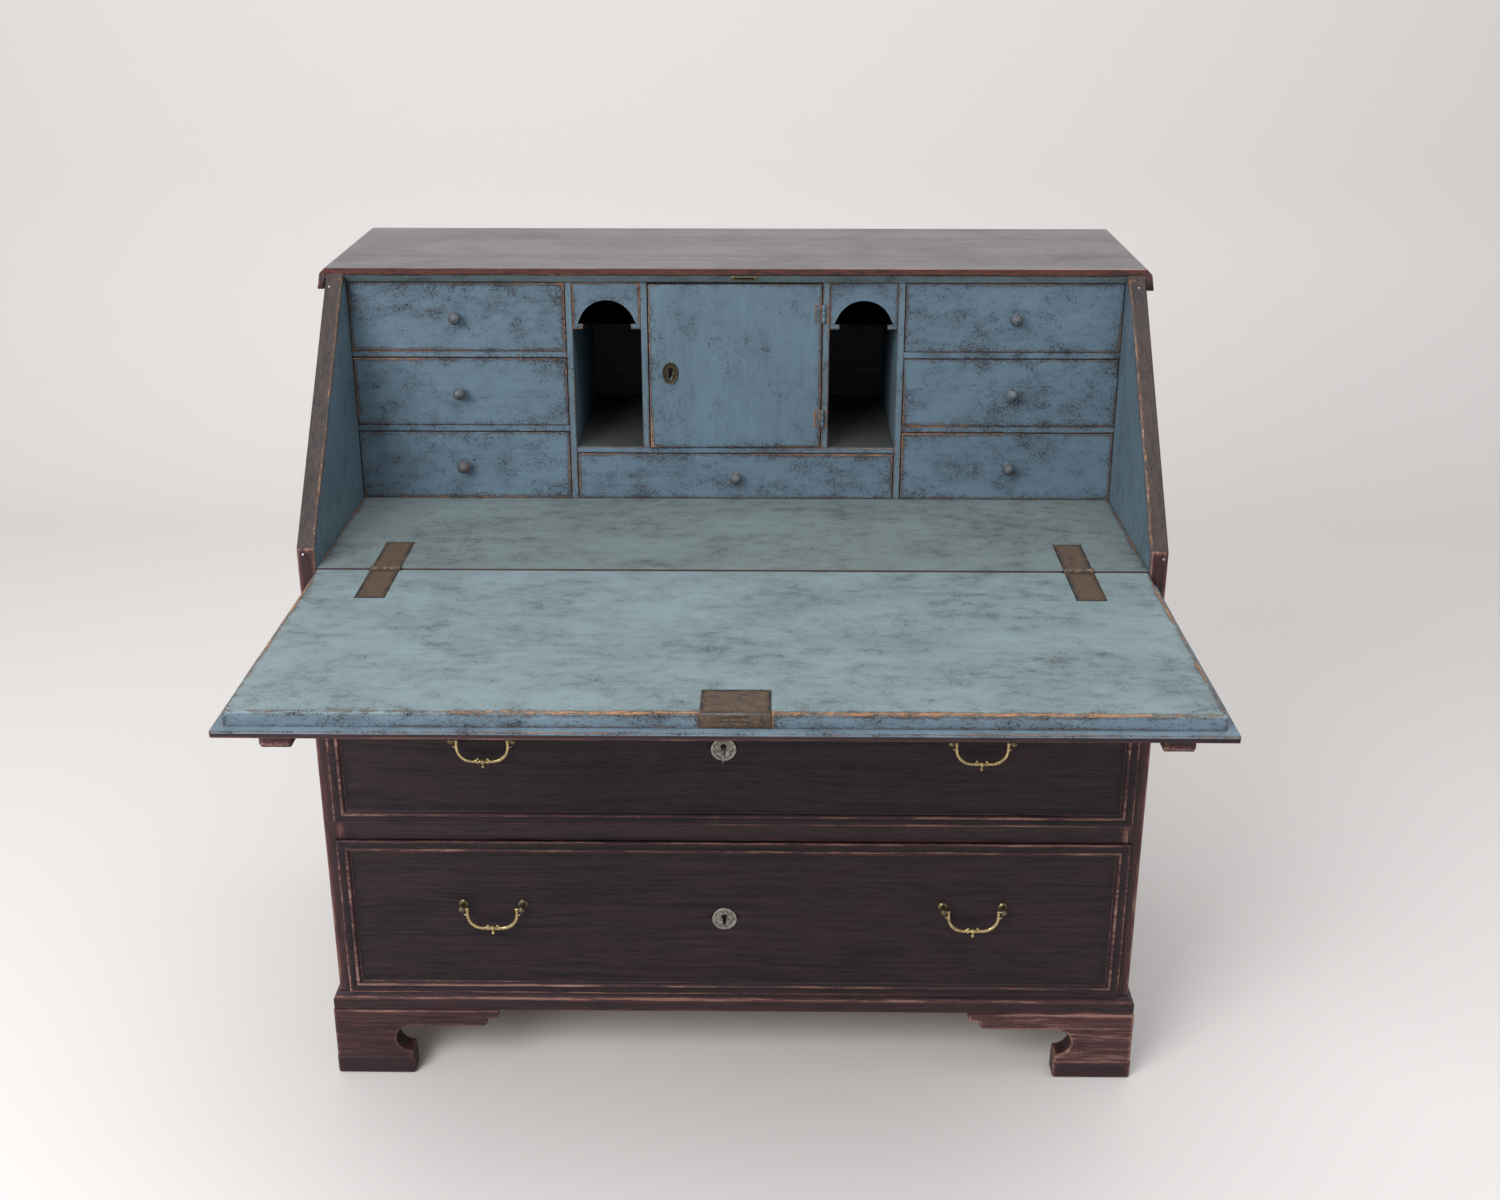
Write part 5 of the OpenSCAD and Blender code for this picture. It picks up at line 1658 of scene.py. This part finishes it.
valance_z, arch_r = 989.0, 32.3
low, high = door_half + panel_t, bay
middle = (low + high) / 2
arch = arc(arch_r, 178, 2, 25, (middle, valance_z + 1.0))
outline = [(low, valance_z), (middle - arch_r, valance_z), *arch.tolist(), (middle + arch_r, valance_z),
           (high, valance_z), (high, under_top), (low, under_top)]
valance = slab(outline, "y", gallery_y + 1.0, gallery_y + 9.0, rub=1.2, seed=9, insets=(2.0, 5.5),
               reach=6.0)
piece("arched_valances", "carcase", [(valance, "paint_x"), (mirrored(valance), "paint_x")], ["valances"])

# %% [markdown]
# ## Small drawers and knobs
# Each small drawer has a painted front and bare pine boards behind. The knobs are turned:
# a foot, a neck and a flattened ball, with paint rubbed off at the widest part.

# %% Small drawers
def small_box(lo, hi, seed):
    """A small drawer: its front board, two sides, back and bottom."""
    y1, t = lo[1] + 12.0, 7.0
    (x0, _, z0), (x1, back, z1) = lo, hi
    front = plank(lo, (x1, y1, z1), rub=1.8, wear=0.8, seed=seed, step=25)
    left = plank((x0, y1 + 0.2, z0), (x0 + t, back, z1 - 3), rub=0.8, seed=seed)
    right = plank((x1 - t, y1 + 0.2, z0), (x1, back, z1 - 3), rub=0.8, seed=seed)
    rear = plank((x0 + t + 0.2, back - t, z0), (x1 - t - 0.2, back, z1 - 3), rub=0.8, seed=seed)
    base = plank((x0 + t + 0.2, y1 + 0.2, z0), (x1 - t - 0.2, back - t - 0.2, z0 + 5), rub=0.8, seed=seed)
    back_face = lambda c: c[:, 1] > y1 - 0.4
    return [(front, "paint_x", ("pine_x", back_face)), (left, "pine_y"), (right, "pine_y"),
            (rear, "pine_x"), (base, "pine_x")]


def knob_skin(x, z):
    """A turned knob on the gallery's front: profile of (out, radius) spun along -Y."""
    profile = [(0, 0.01), (0, 6.0), (1.2, 6.1), (2.0, 5.2), (3.2, 4.1), (5.2, 3.7), (6.6, 4.2), (8.0, 6.2),
               (9.8, 7.8), (12.0, 8.45), (14.6, 8.4), (17.2, 7.2), (19.4, 5.0), (20.8, 2.6), (21.3, 1.4),
               (21.6, 1.2), (21.9, 0.01)]
    worn = [0, 0, .6, .2, 0, 0, .2, .6, .85, .95, .95, .9, .85, .8, .95, .95, .95]
    return turned(profile, (x, gallery_y, z), (0.0, -1.0, 0.0), 32, worn)


plans = [(f"{side}_{row}", f"small_drawer_{side}_{row}") for side in ("left", "right") for row in (1, 2, 3)]
plans.append(("centre", "small_drawer_centre"))
for number, (label, body) in enumerate(plans):
    lo, hi = box_mm(f"gallery_drawer_{label}")
    piece(f"small_drawer_box_{label}", body, small_box(lo, hi, 110 + number), [f"gallery_drawer_{label}"])
    knob_lo, knob_hi = box_mm(f"knob_{label}")
    piece(f"turned_knob_{label}", body,
          [(knob_skin((knob_lo[0] + knob_hi[0]) / 2, (knob_lo[2] + knob_hi[2]) / 2), "paint_z")],
          [f"knob_{label}"])

# %% [markdown]
# ## Door
# The door stands a little ajar, so its skins are worked out shut and then turned about the
# hinge pin by the same small angle.

# %% The hinge pin
ajar = math.radians(1.1)
pin = np.array([door_half + 1.0, gallery_y - 2.5, 0.0])


def on_door(skin):
    """Turns a skin drawn for the shut door about the hinge pin."""
    points, faces, arris, recess = skin
    rel = points - pin
    c, s = math.cos(ajar), math.sin(ajar)
    turned_points = np.stack([rel[:, 0] * c - rel[:, 1] * s, rel[:, 0] * s + rel[:, 1] * c, rel[:, 2]], -1)
    return turned_points + pin, faces, arris, recess


# %% Door board
door_x, door_z = (-door_half + 1.5, door_half - 1.0), (floor_z + 8.5, 1050.5)
door_lock_x, door_lock_z = -door_half + 30.0, 930.0


def door_steps():
    """Rectangles from the door's back round its rubbed arris to the face."""
    section = [(1.0, 12.0), (0.0, 11.0), (0.0, 2.2), (0.3, 1.1), (1.0, 0.35), (2.2, 0.0), (4.5, 0.0),
               (8.0, 0.0), (13.0, 0.0), (20.0, 0.0)]
    steps = []
    for inset, y in section:
        corners = rectangle(door_x[0] + inset, door_x[1] - inset, door_z[0] + inset, door_z[1] - inset,
                            gallery_y + y)
        steps.append((corners, float(nearness(inset + 0.6 * y)), 0.0))
    return steps


def door_front():
    """The shut door, worn most along the edge that hands open it by."""
    points, faces, arris, recess = board_front(door_steps(), (door_lock_x, door_lock_z), 130, 0.5)
    return points, faces, arris * np.where(points[:, 0] < door_x[0] + 14.0, 1.0, 0.82), recess


piece("door_board", "door", [(on_door(door_front()), "paint_door")], ["door_panel"])

# %% [markdown]
# The door hangs on two small butt hinges that were painted over with it: a leaf on the door, a
# leaf on the partition and a knuckle in three parts round the pin.

# %% Door hinges
leaf_h = 24.0
leaves, plates = [], []
for z in (866.0, 1011.0):
    leaf = plank((door_half - 10.8, gallery_y - 0.4, z - leaf_h / 2),
                 (door_half - 1.4, gallery_y + 1.0, z + leaf_h / 2), rub=0.4, seed=131, step=8)
    leaves.append(on_door(leaf))
    for dz in (-7.0, 7.0):
        leaves.append(on_door(screw((door_half - 6.5, gallery_y - 0.4, z + dz), (0, -1, 0), 1.9, 0.3)))
        plates.append(screw((door_half + 5.0, gallery_y - 1.2, z + dz), (0, -1, 0), 1.6, 0.3))
    barrel = [(0, 0.01), (0, 1.9), (0.3, 2.2), (leaf_h / 3 - 0.5, 2.2), (leaf_h / 3 - 0.2, 1.9),
              (leaf_h / 3 - 0.2, 0.01)]
    leaves.append(turned(barrel, (pin[0], pin[1], z - leaf_h / 6 + 0.1), (0, 0, 1), 20))
    for start in (z - leaf_h / 2, z + leaf_h / 6 + 0.2):
        plates.append(turned(barrel, (pin[0], pin[1], start), (0, 0, 1), 20))
    plates.append(plank((door_half + 1.0, gallery_y - 1.2, z - leaf_h / 2),
                        (door_half + 8.0, gallery_y + 0.1, z + leaf_h / 2), rub=0.4, seed=132, step=8))
piece("door_butt_leaves", "door", [(s, "paint_z") for s in leaves], ["door_hinge_moving_leaves"])
piece("door_butt_plates", "carcase", [(s, "paint_z") for s in plates], ["door_hinge_fixed_leaves"])


# %% [markdown]
# The door's oval keyhole plate is dark bronze with a rounded rim. Its outline is where rays
# from the keyhole meet an oval, so the plate and the hole share their points.

# %% Door lock
def oval_plate(x, z, half_x, half_z):
    """An oval keyhole plate as rings from the keyhole out to a rounded rim."""
    hole = keyhole_outline(x, z, 30, 0.0)
    rays, inner = rays_through(hole, x, z)
    # where each ray meets the oval
    a = (rays[:, 0] / half_x) ** 2 + (rays[:, 1] / half_z) ** 2
    b = 2 * hole_up * rays[:, 1] / half_z**2
    c = (hole_up / half_z) ** 2 - 1
    along = (-b + np.sqrt(b * b - 4 * a * c)) / (2 * a)
    share = np.array([0.0, 0.06, 0.3, 0.55, 0.75, 0.82, 0.9, 0.97, 1.0, 1.0])
    height = np.array([0.8, 1.2, 1.1, 1.0, 1.0, 1.4, 1.5, 1.2, 0.6, 0.0])
    radius = inner + share[:, None] * (along - inner)
    grid = np.stack([x + radius * rays[:, 0], gallery_y - np.broadcast_to(height[:, None], radius.shape),
                     z + hole_up + radius * rays[:, 1]], -1)
    back = np.stack([hole[:, 0], np.full(len(hole), gallery_y), hole[:, 2]], -1)
    grid = np.concatenate([back[None], grid])
    # the first value darkens the keyhole's wall as painted shade; the others are patina in the plate's
    # hollows
    deep = np.repeat([1, .6, 0, .2, .3, .6, .1, 0, 0, .2, .5], grid.shape[1]).astype(float)
    faces = grid_faces(len(grid), grid.shape[1], loop_rows=True, loop_columns=True).tolist()
    return grid.reshape(-1, 3), faces, np.zeros(len(deep)), deep


inner_case = plank((door_lock_x - 24, gallery_y + 12, door_lock_z - 22),
                   (door_lock_x + 24, gallery_y + 21, door_lock_z + 22), rub=1.2, seed=133)
piece("door_lock_fittings", "door", [
    (on_door(oval_plate(door_lock_x, door_lock_z, 11.0, 15.1)), "bronze"), (on_door(inner_case), "bronze"),
], ["door_lock"])

# %% [markdown]
# ## What stays as CAD
# The bolt of the middle lock already has its right shape. It is only welded, eased along its
# edges and given rusty iron.

# %% Kept CAD nodes
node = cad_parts["middle_lock_bolt"]
node.data.materials.clear()
node.data.materials.append(finishes["rust"])
weld = node.modifiers.new("weld", "WELD")
weld.merge_threshold = 0.00001
ease = node.modifiers.new("ease", "BEVEL")
ease.width = 0.0003
ease.segments = 2
ease.limit_method = "ANGLE"
print("kept:", [n for n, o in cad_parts.items() if not o.hide_render])

# %% [markdown]
# ## Floor, light and camera
# A plain pale floor sweeps up into a wall behind. A soft light stands high at the front left,
# as a window would; a wider, weaker one hangs above, and the plain surround fills the shadows.

# %% Floor
def backdrop():
    """A floor that turns up into a wall: a profile carried straight across."""
    corner, radius = 2.2, 0.8
    bend = arc(radius, -90, 0, 24, (corner, radius))
    profile = np.vstack([[(-6.0, 0.0)], bend, [(corner + radius, 5.0)]])
    x = np.linspace(-6.0, 6.0, 13)
    grid = np.empty((len(profile), len(x), 3))
    grid[..., 0] = x
    grid[..., 1] = profile[:, :1]
    grid[..., 2] = profile[:, 1:]
    mesh = bpy.data.meshes.new("studio_floor")
    mesh.from_pydata(grid.reshape(-1, 3).tolist(), [], grid_faces(len(profile), len(x))[:, ::-1].tolist())
    mesh.polygons.foreach_set("use_smooth", np.ones(len(mesh.polygons), bool))
    obj = bpy.data.objects.new("studio_floor", mesh)
    bpy.context.scene.collection.objects.link(obj)
    material, tree, shader = new_material("pale_floor")
    shader.inputs["Base Color"].default_value = (0.74, 0.712, 0.69, 1.0)
    shader.inputs["Roughness"].default_value = 0.75
    mesh.materials.append(material)


backdrop()


# %% Lights
def soft_light(name, place, aim, size, power, colour):
    """A square area light at place that faces aim."""
    light = bpy.data.lights.new(name, "AREA")
    light.size = size
    light.energy = power
    light.color = colour
    obj = bpy.data.objects.new(name, light)
    bpy.context.scene.collection.objects.link(obj)
    obj.location = place
    toward = np.array(aim) - np.array(place)
    obj.rotation_euler = (
        math.atan2(math.hypot(toward[0], toward[1]), -toward[2]), 0.0,
        math.atan2(-toward[0], toward[1]),
    )


soft_light("window", (-2.0, -2.9, 2.8), (0.0, 0.0, 0.6), 2.2, 150.0, (0.98, 0.99, 1.0))
soft_light("ceiling", (0.3, -0.6, 3.6), (0.0, 0.1, 0.5), 3.0, 75.0, (0.97, 0.98, 1.0))
world = bpy.data.worlds.new("surround")
world.use_nodes = True
surround = world.node_tree.nodes["Background"]
surround.inputs["Color"].default_value = (0.95, 0.97, 1.0, 1.0)
surround.inputs["Strength"].default_value = 0.48
bpy.context.scene.world = world
bpy.context.scene.view_settings.view_transform = "Standard"
print("lights:", [light.name for light in bpy.data.lights])

# %% Camera
camera_data = bpy.data.cameras.new("camera")
camera = bpy.data.objects.new("camera", camera_data)
bpy.context.scene.collection.objects.link(camera)
camera_data.sensor_width = 36.0
camera_data.lens = 41.81
camera_data.shift_x = 0.0012
camera_data.shift_y = -0.0165
camera.location = (0.0444, -2.0943, 1.5267)
camera.rotation_euler = (math.radians(90.0 - 21.2), 0.0, math.radians(0.67))
bpy.context.scene.camera = camera
print("camera", camera_data.lens, "mm lens at", tuple(camera.location))
